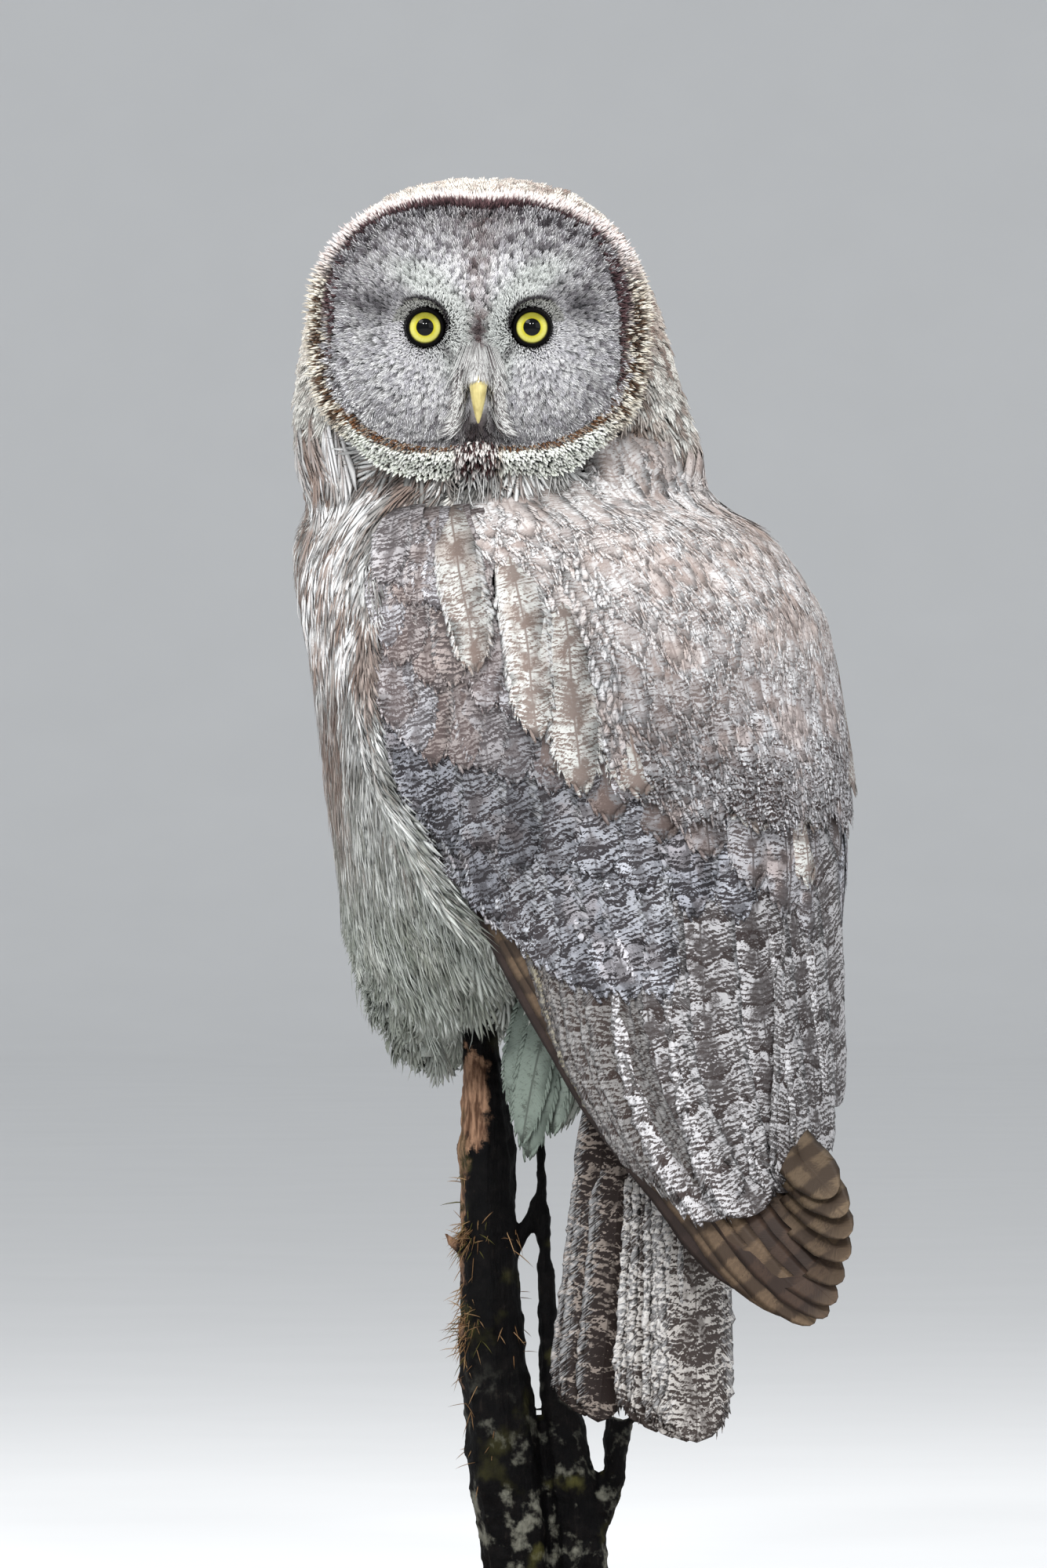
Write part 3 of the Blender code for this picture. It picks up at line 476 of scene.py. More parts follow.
class Graph:
    """One material's nodes."""

    def __init__(self, name: str) -> None:
        """Starts a material with its Principled shader."""
        self.material = bpy.data.materials.new(name)
        self.material.use_nodes = True
        self.nodes = self.material.node_tree.nodes
        self.links = self.material.node_tree.links
        self.shader = self.nodes["Principled BSDF"]

    def feed(self, socket: bpy.types.NodeSocket, value: object) -> None:
        """Links a signal to a socket, or sets its value."""
        if isinstance(value, Signal):
            self.links.new(value.socket, socket)
        elif socket.type == "RGBA":
            socket.default_value = (*[float(part) for part in value][:3], 1.0)
        elif socket.type == "VECTOR" and not isinstance(value, (int, float)):
            socket.default_value = [float(part) for part in value]
        else:
            socket.default_value = value

    def node(
        self, kind: str, settings: Optional[dict] = None, inputs: Optional[dict] = None,
        out: Union[int, str] = 0,
    ) -> Signal:
        """Any node.

        Args:
            kind: The node's type.
            settings: Its properties, such as a Math node's operation, set first.
            inputs: Values or signals by socket name or number.
            out: The output that is wanted.

        Returns:
            That output as a signal.
        """
        made = self.nodes.new(kind)
        for name, value in (settings or {}).items():
            if name == "stops":
                ramp = made.color_ramp
                while len(ramp.elements) < len(value):
                    ramp.elements.new(0.5)
                for element, (place, colour) in zip(ramp.elements, value):
                    element.position, element.color = place, (*colour, 1.0)
            else:
                setattr(made, name, value)
        for name, value in (inputs or {}).items():
            self.feed(made.inputs[name], value)
        return Signal(self, made.outputs[out])

    def attribute(self, name: str, out: str = "Vector") -> Signal:
        """A value that the mesh carries."""
        return self.node("ShaderNodeAttribute", {"attribute_name": name}, out=out)

    def parts(self, vector: Signal) -> list[Signal]:
        """A vector's three numbers."""
        made = self.node("ShaderNodeSeparateXYZ", None, {0: vector})
        return [Signal(self, socket) for socket in made.socket.node.outputs]

    def vector(self, *numbers: object) -> Signal:
        """A vector from three numbers."""
        return self.node("ShaderNodeCombineXYZ", None, dict(enumerate(numbers)))

    def place(self) -> Signal:
        """The place on the object, in metres."""
        return self.node("ShaderNodeTexCoord", out="Object")

    def noise(self, at: Signal, scale: float, detail: float = 2.0, rough: float = 0.5) -> Signal:
        """Noise of 0 to 1 at a place."""
        inputs = {"Vector": at, "Scale": scale, "Detail": detail, "Roughness": rough}
        return self.node("ShaderNodeTexNoise", None, inputs, "Fac")

    def ripple(self, *numbers: object) -> Signal:
        """Noise round 0 by three numbers."""
        return self.noise(self.vector(*numbers), 1.0, 1.0) - 0.5

    def mix(self, share: object, first: object, second: object, how: str = "MIX") -> Signal:
        """Two colours mixed."""
        settings = {"data_type": "RGBA", "blend_type": how, "clamp_factor": True}
        return self.node("ShaderNodeMix", settings, {0: share, 6: first, 7: second}, 2)

    def scale(self, colour: Signal, by: object) -> Signal:
        """A colour made lighter or darker."""
        return self.node("ShaderNodeVectorMath", {"operation": "SCALE"}, {0: colour, "Scale": by})

    def raise_by(self, height: Signal, distance: float, strength: float = 1.0) -> Signal:
        """A surface relief from a height of 0 to 1."""
        inputs = {"Height": height, "Distance": distance, "Strength": strength}
        return self.node("ShaderNodeBump", None, inputs)

    def surface(self, **inputs: object) -> bpy.types.Material:
        """Feeds the Principled shader and returns the material."""
        for name, value in inputs.items():
            self.feed(self.shader.inputs[name.replace("_", " ")], value)
        return self.material


# ------------------------------------------------------------------ plumage finishes


@dataclass(frozen=True)
class Plumage:
    """A finish for feathers, with markings laid out along each one.

    The mesh carries tint and ink, its two colours; marks, the strength of its fine lines, its bars and
    its shaft streak; and place, millimetres across and along the feather and a number of its own.
    """

    name: str
    pitch: float = 14.0  # millimetres from one bar to the next
    sway: float = 1.0  # how far bars stray from their line
    dark: float = 0.0  # how far dark lines widen
    areas: float = 3.2  # how much whole areas differ in darkness
    grain: float = 1.0  # size of the fine lines
    band: float = 0.0  # strength of broad soft bands
    slant: float = 0.25  # how far bars sweep back from the shaft
    streak: float = 0.30  # width of the dark shaft streak
    painted_root_shade: float = 0.0  # painted shade and light: the covered root darker, the tip lighter; partly the feathers' own pale tips
    barb: float = 0.26  # contrast from barb to barb
    barb_pitch: float = 0.75  # millimetres from barb to barb
    edge_light: float = 0.0  # pale edges
    side_dark: float = 0.0  # shade under the next feather
    side_from: float = 0.12  # where that shade starts across the vane
    fringe_light: float = 0.0  # pale fringe at the very tip
    mirrored: bool = False  # for the right wing
    cloud: float = 0.0  # brown stain over whole patches
    roughness: float = 0.78

    def make(self) -> bpy.types.Material:
        """The material."""
        g = Graph(self.name)
        across, along, seed = g.parts(g.attribute("place"))
        lines, bars, shaft = g.parts(g.attribute("marks"))
        u, v, _ = g.parts(g.node("ShaderNodeUVMap", {"uv_map": "vane"}))
        if self.mirrored:
            u = 1.0 - u
        edge = abs(u - 0.5) * 2
        wide = abs(across)
        swept = along + wide * self.slant
        area = g.noise(g.place(), 36.0, 3.0)
        combed = g.ripple((along - wide * 0.9) / self.barb_pitch, wide / 6, seed * 5.7)
        sway = g.ripple(across / 12, along / 12, seed * 3.7)
        fine = g.ripple(across / (1.4 * self.grain), (along - wide * 0.3) / (0.85 * self.grain), seed * 3.1)
        broad = g.ripple(across / (4.4 * self.grain), along / (1.7 * self.grain), seed * 7.3)
        stray = (sway * 1.1 + broad * 0.3 + fine * 0.2) * self.sway
        turn = swept / self.pitch + stray + combed * 0.15 + seed * 0.37
        rise = turn.part()
        waves = swept / (3.1 * self.grain) + sway * 2.6 + broad * 1.5
        crest = (waves * (2 * math.pi)).sine()
        pale = rise.soft(0.13, 0.05) * rise.soft(-0.01, 0.02) * bars
        speck = crest * 0.78 + fine * 3.9 + broad * 3.0 + combed * 1.8
        speck = speck + (rise - 0.45) * 1.1 * bars - pale * 3.5 + (0.5 - area) * self.areas
        line = (speck + self.dark + (lines.most(1.0) - 1.0) * 5).soft(-0.1, 0.45) * lines
        rule = rise.soft(0.82, 0.88) * rise.soft(0.99, 0.95) * bars
        patch = g.noise(g.vector(across / 7, along / 9, seed * 11), 1.0, 2.0).soft(0.42, 0.6)
        middle = (edge + fine * 1.2).soft(self.streak + 0.22, self.streak - 0.12) * patch * 0.85
        quill = wide.soft(0.9, 0.25)
        mark = line.most(rule).most(middle.most(quill * 0.8) * shaft)
        if self.band:
            mark = mark.most((turn * (2 * math.pi)).sine().soft(-0.3, 0.5) * self.band)
        light = combed * self.barb + 1.0
        # Painted shade at the covered root, painted light at the tip
        if self.painted_root_shade:
            light = light + (v.soft(0.15, 1.0) - 0.5) * self.painted_root_shade
        if self.side_dark:
            light = light * (1.0 - u.soft(self.side_from, self.side_from + 0.4) * self.side_dark)
        tint = g.attribute("tint", "Color")
        if self.cloud:
            stain = (area + patch * 0.1).soft(0.56, 0.68) * self.cloud
            tint = g.mix(stain, tint, paint(160, 130, 114))
        colour = g.mix(mark, tint, g.attribute("ink", "Color"))
        if self.edge_light:
            rim = (edge + combed * 1.4).soft(0.72, 0.98) * self.edge_light
            colour = g.mix(rim, colour, paint(226, 228, 230))
        if self.fringe_light:
            tip = (v + combed * 0.02).soft(0.968, 0.99) * self.fringe_light
            colour = g.mix(tip, colour, paint(186, 160, 128))
        return g.surface(
            Base_Color=g.scale(colour, light), Roughness=self.roughness, Specular_IOR_Level=0.25,
            Normal=g.raise_by(combed + quill * 0.8, 0.0003, 0.45),
        )


@dataclass(frozen=True)
class DownSkin:
    """The skin's finish: the coat's own colours, a little deeper, under a fine down."""

    name: str = "down_skin"

    def make(self) -> bpy.types.Material:
        """The material."""
        g = Graph(self.name)
        fine = g.noise(g.place(), 900.0, 3.0)
        colour = g.scale(g.attribute("tint", "Color"), fine * 0.4 + 0.62)
        relief = g.raise_by(fine, 0.0006)
        return g.surface(Base_Color=colour, Roughness=0.95, Normal=relief, Specular_IOR_Level=0.1)


# ------------------------------------------------------------------ feathers


@dataclass(frozen=True)
class VaneForm:
    """One closed feather, modelled once: 1 long, half as wide as its stations say, and 1 thick.

    stations give a share of the length and a share of the half width, from the root to just short of the
    tip. fringe barbs stand out of each edge.
    """

    sides: int
    stations: tuple[tuple[float, float], ...]
    fringe: int = 0
    fringe_from: float = 0.3
    fringe_out: float = 0.13
    fringe_length: float = 0.06
    barb: float = 0.035
    knots: int = 7

    def model(self) -> "Template":
        """Draws a ring out station by station, closes its ends, adds the fringe and reads the mesh back."""
        Bench.pick()
        bpy.ops.mesh.primitive_circle_add(vertices=self.sides, radius=1.0, fill_type="NGON")
        piece = bpy.context.object
        Bench.edit()
        first = self.stations[0][1]
        bpy.ops.transform.resize(value=(first, min(first + 0.4, 1), 1))
        height, width = 0.0, first
        for share, reach in (*self.stations[1:], (1.0, 0.0)):
            grown = max(reach, 0.01)
            thinner = 0.86 if share < 1 else 0.2
            bpy.ops.mesh.extrude_region_move(TRANSFORM_OT_translate={"value": (0, 0, share - height)})
            bpy.ops.transform.resize(value=(grown / width, thinner, 1), center_override=(0, 0, share))
            height, width = share, grown
        bpy.ops.mesh.merge(type="COLLAPSE")
        for side in (-1, 1):
            for k in range(self.fringe):
                share = self.fringe_from + (0.97 - self.fringe_from) * (k + 0.5) / self.fringe
                length = self.fringe_length * (1 + 0.25 * math.sin(9.1 * k + side))
                inner = self.half(share) * 0.8
                outer = self.half(min(share + length, 1.0)) + self.fringe_out * (1 + 0.3 * math.sin(5.3 * k))
                spindle((side * inner, share), (side * outer, share + length), self.barb, 0.7)
        return Template.read(piece, self.knots)

    def half(self, share: float) -> float:
        """The half width at a share of the length."""
        shares, reaches = zip(*self.stations, (1.0, 0.0))
        return float(np.interp(share, shares, reaches))


@dataclass(frozen=True)
class FanForm:
    """One soft feather, modelled once: a fan of barbs on both sides of a shaft, 1 long and 1 to each side."""

    pairs: int
    barb: float = 0.12
    root_end: float = 0.62
    wide_at: float = 0.5
    knots: int = 4

    def model(self) -> "Template":
        """Adds the shaft and each pair of barbs, longer ones first, and reads the mesh back."""
        Bench.pick()
        bpy.ops.mesh.primitive_uv_sphere_add(
            segments=3, ring_count=2, radius=1.0, scale=(self.barb, 1.0, 0.5), location=(0, 0, 0.5)
        )
        piece = bpy.context.object
        bpy.ops.object.transform_apply(location=True, rotation=True, scale=True)
        Bench.edit()
        for k in range(self.pairs):
            turn = (k + 0.35) / self.pairs * math.pi / 2
            begin = self.root_end * k / self.pairs
            for side in (-1, 1):
                sway = 1 + 0.12 * math.sin(4.7 * k + side)
                rise = self.wide_at + (1 - self.wide_at) * math.sin(turn) * sway
                spindle((0.0, begin), (side * math.cos(turn) ** 0.8 * sway, rise), self.barb, 0.8)
        return Template.read(piece, self.knots)


def spindle(begin: tuple[float, float], end: tuple[float, float], reach: float, thick: float) -> None:
    """Adds one barb, pointed at both ends, to the mesh in edit mode.

    Args:
        begin: Where it starts, to the side and along the feather.
        end: Where it ends.
        reach: Half its width.
        thick: Half its thickness.
    """
    across, along = end[0] - begin[0], end[1] - begin[1]
    bpy.ops.mesh.primitive_uv_sphere_add(
        segments=3, ring_count=2, radius=1.0, scale=(reach, thick, math.hypot(across, along) / 2),
        location=((begin[0] + end[0]) / 2, 0.0, (begin[1] + end[1]) / 2),
        rotation=(0, math.atan2(across, along), 0),
    )


@dataclass
class Template:
    """A modelled feather's points: to the side, out and along it, with its triangles."""

    side: Array
    lift: Array
    along: Array
    faces: Array
    shares: Array

    @classmethod
    def read(cls, piece: bpy.types.Object, knots: int) -> "Template":
        """Closes the edit, reads a piece's mesh and removes the piece.

        Args:
            piece: The modelled feather, in edit mode.
            knots: At how many shares of the length a lay gives its lines.

        Returns:
            The feather's points and triangles.
        """
        bpy.ops.mesh.select_all(action="SELECT")
        bpy.ops.mesh.quads_convert_to_tris()
        bpy.ops.mesh.normals_make_consistent(inside=False)
        Bench.close()
        mesh = piece.data
        side, lift, along = Bench.points(piece).T
        faces = np.array([tuple(face.vertices) for face in mesh.polygons])
        bpy.data.objects.remove(piece)
        bpy.data.meshes.remove(mesh)
        return cls(side, lift, along, faces, np.linspace(0, 1, knots))

    def steady(self, out: Array) -> Array:
        """One direction for each feather, at every share of its length."""
        return np.repeat(out[:, None], len(self.shares), 1)


@dataclass
class Lay:
    """Where a batch of feathers lies, and how each is coloured."""

    middle: Array  # middle lines, at the form's shares
    face: Array  # directions out of the feathers there
    width: Array
    thick: float
    tint: Array
    ink: Array
    marks: Array  # strength of fine lines, bars and shaft streak
    droop: float = 0.004  # how far edges bend down, for each square millimetre of reach
    ragged: float = 0.06  # how uneven edges are
    twist: float = 0.0  # how far one edge lies higher than the other


def spread(table: Array, count: int) -> Array:
    """One value for each of count feathers, from one for all or one each."""
    table = np.asarray(table, float)
    return np.broadcast_to(table, (count, table.shape[-1])) if table.ndim < 2 else table


def unwrap(points: Array) -> Array:
    """Places on the skin's own wrap: round the body and up it."""
    middle_x = np.interp(points[:, 2], (200, 480, 660), (20.0, -8.0, -44.0))
    round_way = np.arctan2(points[:, 1], points[:, 0] - middle_x) / (2 * math.pi) + 0.5
    return 0.01 + 0.97 * beside(round_way, np.clip((points[:, 2] - 100) / 650, 0, 1))


def grow(
    name: str, form: Template, lay: Lay, rng: np.random.Generator, patch: float = 0.003
) -> bpy.types.Object:
    """Copies one modelled feather to every place of a lay, as a single mesh.

    Args:
        name: The piece's name.
        form: The modelled feather.
        lay: The middle lines at the form's shares, the widths and the colours.
        rng: The seeded source of small differences.
        patch: The width of one feather's patch on the baking map, or 0 for a cell of its own each.

    Returns:
        The piece, without a material.
    """
    count, points = len(lay.middle), len(form.side)
    shares = form.shares
    low = np.clip(np.searchsorted(shares, form.along) - 1, 0, len(shares) - 2)
    part = (form.along - shares[low]) / (shares[low + 1] - shares[low])

    def at(table: Array) -> Array:
        """A table by share, read at every point of the form."""
        weight = part[None, :, None] if table.ndim > 2 else part[None]
        return table[:, low] * (1 - weight) + table[:, low + 1] * weight

    along = unit(np.gradient(lay.middle, shares, axis=1))
    across = unit(np.cross(lay.face, along))
    face = np.cross(along, across)
    half = (lay.width / 2)[:, None]
    outer = np.abs(form.side) > 0.5 * np.abs(form.side).max()
    one, other = rng.uniform(0.85, 1.12, (count, 1)), rng.uniform(0.85, 1.12, (count, 1))
    lean = np.where(form.side[None] > 0, one, other)
    side = form.side[None] * (1 + lay.ragged * outer * rng.normal(size=(count, points)).clip(-2, 2))
    reach = side * half * (lean if lay.ragged else 1.0)
    lift = form.lift[None] * lay.thick / 2 - lay.droop * reach**2 + lay.twist * reach
    place = at(lay.middle) + at(across) * reach[..., None] + at(face) * lift[..., None]
    faces = (form.faces[None] + (np.arange(count) * points)[:, None, None]).reshape(-1, 3)
    mesh = bpy.data.meshes.new(name)
    mesh.from_pydata((place.reshape(-1, 3) * MM).astype(np.float32), [], faces)
    corner = faces.ravel()
    local = beside(form.side / np.abs(form.side).max() / 2 + 0.5, form.along)[None]
    if patch:
        baked = unwrap(lay.middle[:, 0])[:, None] + patch * (local - 0.5)
    else:
        wide = math.ceil(math.sqrt(count * 4))
        cell = beside(np.arange(count) % wide, np.arange(count) // wide)[:, None]
        baked = (cell + 0.05 + 0.9 * np.clip(local, 0, 1)) / (wide, math.ceil(count / wide))
    for label, table in (("vane", np.broadcast_to(local, baked.shape)), ("OFBake", baked)):
        layer = mesh.uv_layers.new(name=label)
        layer.uv.foreach_set("vector", table.reshape(-1, 2)[corner].astype(np.float32).ravel())
    steps = np.linalg.norm(np.diff(lay.middle, axis=1), axis=-1)
    length = np.concatenate((np.zeros((count, 1)), np.cumsum(steps, axis=1)), axis=1)
    own = beside(reach, at(length), rng.uniform(0, 10, (count, 1)))
    for label, table in (("place", own), ("marks", np.repeat(spread(lay.marks, count)[:, None], points, 1))):
        data = mesh.attributes.new(label, "FLOAT_VECTOR", "POINT").data
        data.foreach_set("vector", table.reshape(-1).astype(np.float32))
    for label, table in (("tint", lay.tint), ("ink", lay.ink)):
        Bench.stain(mesh, label, np.repeat(np.clip(spread(table, count), 0, 1), points, 0))
    mesh.shade_smooth()
    piece = bpy.data.objects.new(name, mesh)
    bpy.context.scene.collection.objects.link(piece)
    return piece


def rounded(
    count: int, root: float, widest: float, blunt: float, tip: float = 0.0
) -> tuple[tuple[float, float], ...]:
    """Stations of a vane that swells from its root and rounds off at its end.

    Args:
        count: The number of stations.
        root: The share of the width at the root.
        widest: Where it is full, as a share of its length.
        blunt: Where the rounding starts.
        tip: How far the stations gather towards the tip.

    Returns:
        Pairs of share and half width.
    """
    shares = [1 - (1 - k / count) ** (1 + tip) for k in range(count)]
    made = []
    for share in shares:
        swell = root + (1 - root) * math.sin(min(share / widest, 1) * math.pi / 2)
        past = max((share - blunt) / (1 - blunt), 0)
        made.append((share, swell * math.sqrt(max(1 - past**2.2, 0.02))))
    return tuple(made)


TUFT = VaneForm(3, ((0.0, 0.5), (0.45, 1.0)), knots=3)
STRAND = VaneForm(3, ((0.0, 0.6), (0.35, 1.0), (0.7, 0.7)), knots=4)
FAN = FanForm(3, 0.115)
NECK_FAN = FanForm(3, 0.16)
PLUME = FanForm(3, 0.125, 0.55, 0.62, knots=5)
SOFT_VANE = VaneForm(4, rounded(5, 0.5, 0.45, 0.5, 0.1), 8, 0.35, 0.16, 0.13, 0.07, knots=5)
COVERT = VaneForm(6, rounded(8, 0.5, 0.4, 0.62, 0.25), 22, 0.3, 0.08, 0.05, 0.03, knots=7)
PRIMARY = VaneForm(8, rounded(22, 0.6, 0.2, 0.9, 0.9), knots=15)
SECONDARY = VaneForm(8, rounded(20, 0.6, 0.2, 0.93, 0.9), 34, 0.45, 0.05, 0.022, 0.03, knots=15)
TAIL_FEATHER = VaneForm(8, rounded(20, 0.6, 0.2, 0.86, 0.5), 34, 0.45, 0.05, 0.022, 0.03, knots=15)


# ------------------------------------------------------------------ the ground that feathers lie on


class Ground:
    """The plumage's outer surface on head and body, which the coat lies along."""

    def __init__(self, piece: bpy.types.Object) -> None:
        """Reads the piece's mesh into a search tree."""
        mesh = piece.data
        mesh.calc_loop_triangles()
        self.points = Bench.points(piece) / MM
        self.faces = np.empty(len(mesh.loop_triangles) * 3, np.int32)
        mesh.loop_triangles.foreach_get("vertices", self.faces)
        self.faces = self.faces.reshape(-1, 3)
        corners = self.points[self.faces]
        flat = np.cross(corners[:, 1] - corners[:, 0], corners[:, 2] - corners[:, 0])
        self.area = np.linalg.norm(flat, axis=1) / 2
        normals = np.zeros_like(self.points)
        for k in range(3):
            np.add.at(normals, self.faces[:, k], flat)
        self.normals = unit(normals)
        self.face_normals = unit(self.normals[self.faces].mean(1))
        self.tree = BVHTree.FromPolygons(self.points.tolist(), self.faces.tolist())

    def nearest(self, points: Array) -> tuple[Array, Array]:
        """The nearest places on the surface and the directions out of it."""
        found = [self.tree.find_nearest(point) for point in points.tolist()]
        places = np.array([tuple(entry[0]) for entry in found])
        return places, self.face_normals[[entry[2] for entry in found]]

    def scatter(
        self, spacing: Callable[[Array, Array], Array], rng: np.random.Generator
    ) -> tuple[Array, Array]:
        """Seeds spread evenly over the surface.

        Args:
            spacing: The distance between seeds for places and normals, 0 where none grow.
            rng: The seeded source.

        Returns:
            The seeds' places and the directions out of the surface.
        """
        centres = self.points[self.faces].mean(1)
        apart = spacing(centres, self.face_normals)
        weight = np.where(apart > 0, self.area / np.maximum(apart, 0.1) ** 2, 0)
        count = int(weight.sum() * 3.4)
        pick = rng.choice(len(self.faces), count, p=weight / weight.sum())
        first, second = rng.random((2, count))
        over = first + second > 1
        first, second = np.where(over, 1 - first, first), np.where(over, 1 - second, second)
        corners = self.points[self.faces[pick]]
        sides = corners[:, 1:] - corners[:, :1]
        at = corners[:, 0] + first[:, None] * sides[:, 0] + second[:, None] * sides[:, 1]
        tree = KDTree(count)
        for index, point in enumerate(at.tolist()):
            tree.insert(point, index)
        tree.balance()
        gone = np.zeros(count, bool)
        kept = []
        reach = apart[pick] * 0.8
        for index, point in enumerate(at.tolist()):
            if gone[index]:
                continue
            kept.append(index)
            for _, other, _ in tree.find_range(point, reach[index]):
                gone[other] = True
        return at[kept], self.face_normals[pick[kept]]

    def follow(
        self, roots: Array, normals: Array, heading: Array, length: Array, levels: Sequence[Array],
        shares: Array, hang: Union[float, Array] = 0.0, bow: Union[float, Array] = 0.0,
    ) -> tuple[Array, Array]:
        """Middle lines that lie along the surface.

        Args:
            roots: The seeds on the surface.
            normals: The directions out of it there.
            heading: The way each feather lies.
            length: Each feather's length.
            levels: How far out of the surface root, middle and tip are.
            shares: The stations.
            hang: How far the feather hangs free instead of following the surface, 0 to 1.
            bow: How far the line bends sideways at its middle.

        Returns:
            The lines and the directions out of the feathers, at each station.
        """
        along = unit(heading - normals * (heading * normals).sum(-1, keepdims=True))
        half = length[:, None] / 2
        middle, middle_normal = self.nearest(roots + along * half)
        onward = unit(middle - roots)
        onward = unit(onward - middle_normal * (onward * middle_normal).sum(-1, keepdims=True))
        tip, tip_normal = self.nearest(middle + onward * half)
        hang = np.broadcast_to(np.asarray(hang, float), (len(roots),))[:, None]
        down = np.array((0.0, 0.0, -1.0))
        middle = middle * (1 - hang) + (roots + unit(along + 1.3 * down) * half) * hang
        tip = tip * (1 - hang) + (middle + unit(0.25 * onward + down) * half) * hang
        flat = unit(normals * (1, 1, 0.2))
        middle_normal = unit(middle_normal * (1 - hang) + flat * hang)
        tip_normal = unit(tip_normal * (1 - hang) + flat * hang)
        first, second, third = (np.broadcast_to(level, (len(roots),))[:, None] for level in levels)
        side = unit(np.cross(middle_normal, onward)) * np.broadcast_to(bow, (len(roots),))[:, None]
        places = (roots + normals * first, middle + middle_normal * second + side, tip + tip_normal * third)
        t = shares[None, :, None]
        weights = ((1 - t) * (1 - 2 * t), 4 * t * (1 - t), t * (2 * t - 1))
        line = sum(place[:, None] * weight for place, weight in zip(places, weights))
        faces = (normals, middle_normal, tip_normal)
        spare = (np.maximum(1 - 2 * t, 0), 1 - np.abs(2 * t - 1), np.maximum(2 * t - 1, 0))
        out = unit(sum(normal[:, None] * weight for normal, weight in zip(faces, spare)))
        return line, out


def body_flow(points: Array) -> Array:
    """The way feathers lie on head and body: back from the face, then down."""
    x, z = points[:, 0] - FACE.x, points[:, 2]
    radial = unit(beside(x, 0, z - FACE.z))
    down = step(700 - z, 0, 90)
    back = step(z, 585, 650)
    way = radial * (0.55 * back)[:, None]
    way[:, 1] += 0.85 * back
    way[:, 2] -= 0.25 + 0.95 * down
    way[:, 0] += step(632 - z, 0, 26) * (-0.75 * step(-x, 0, 30) + 0.35 * step(x, 10, 50))
    return unit(way)


# ------------------------------------------------------------------ colours by place


def crown_tint(points: Array, seed: Array) -> tuple[Array, Array]:
    """Pinkish grey-brown mottling on crown, nape and neck: light and dark colours."""
    patch = noise(points, (9, 9, 14), 3) * 0.6 + seed * 0.4
    light = between((203, 195, 186), (243, 239, 229), step(patch, 0.3, 0.55))
    low = step(668 - points[:, 2], 0, 50)
    light = blend(light, between((190, 191, 186), (230, 231, 226), step(seed, 0.2, 0.7)), low * 0.8)
    blotch = step(noise(points, (6, 6, 14), 23), 0.52, 0.64) * step(points[:, 0], -40, 0)
    light = blend(light, paint(118, 97, 86), 0.75 * blotch)
    dark = between((150, 126, 120), (104, 88, 80), low)
    return light, dark


def breast_tint(points: Array, seed: Array) -> tuple[Array, Array]:
    """Silky pale grey-white breast and belly with soft brown streaks, painted shade and a painted green
    reflection: light and dark colours.
    """
    light = between((142, 141, 138), (246, 247, 246), step(seed, 0.05, 0.9))
    streak = noise(points, (12, 12, 52), 8)
    fade = step(points[:, 2], 400, 520)
    brown = between((120, 98, 88), (168, 146, 134), seed)
    light = blend(light, brown, step(streak, 0.60, 0.70) * (0.2 + 0.6 * fade))
    # Locks darker and lighter by noise: painted shade between the silky locks; the upper breast a little
    # darker
    clumps = 0.64 + 0.5 * noise(points, (5, 5, 34), 61)
    light = light * (clumps * (1 - 0.1 * fade))[..., None]
    # Lower belly: painted shade, and a painted green reflection
    low = 1 - step(points[:, 2], 340, 520)
    light = light * (1 - 0.36 * low)[..., None]
    light = blend(light, paint(160, 172, 154), low * 0.35)
    return light, between((120, 100, 92), (140, 124, 116), seed)


@dataclass(frozen=True)
class PaintedShade:
    """A place on the left wing's side where the plumage lies deeper, darkened by painted shade."""

    x: float
    z: float
    x_reach: float
    z_reach: float
    depth: float

    def loss(self, points: Array) -> Array:
        """How much light is lost at places, 0 to 1."""
        across = bump(points[:, 0], self.x, self.x_reach)
        return self.depth * across * bump(points[:, 2], self.z, self.z_reach)


# Painted shade where the mantle lies deeper
MANTLE_PAINTED_SHADE = PaintedShade(34, 468, 44, 44, 0.42)


def mantle_tint(points: Array, seed: Array) -> tuple[Array, Array]:
    """White mantle with fine tan-brown scallops and painted shade: light and dark colours."""
    patch = noise(points, 17, 5) * 0.65 + seed * 0.35
    light = between((198, 195, 194), (232, 231, 231), step(patch, 0.25, 0.6))
    light = blend(light, paint(184, 166, 156), step(noise(points, (15, 15, 20), 6), 0.6, 0.75) * 0.4)
    low = 1 - step(points[:, 2], 440, 545)
    light = blend(light, between((176, 174, 178), (226, 226, 230), seed), 0.75 * low)
    # Darker towards +x, with painted shade where the mantle lies deeper
    light = light * (1 - 0.14 * step(points[:, 0], 10, 90) - MANTLE_PAINTED_SHADE.loss(points))[:, None]
    return light, blend(between((136, 118, 110), (104, 90, 86), seed), paint(64, 55, 54), low)


# ------------------------------------------------------------------ skin


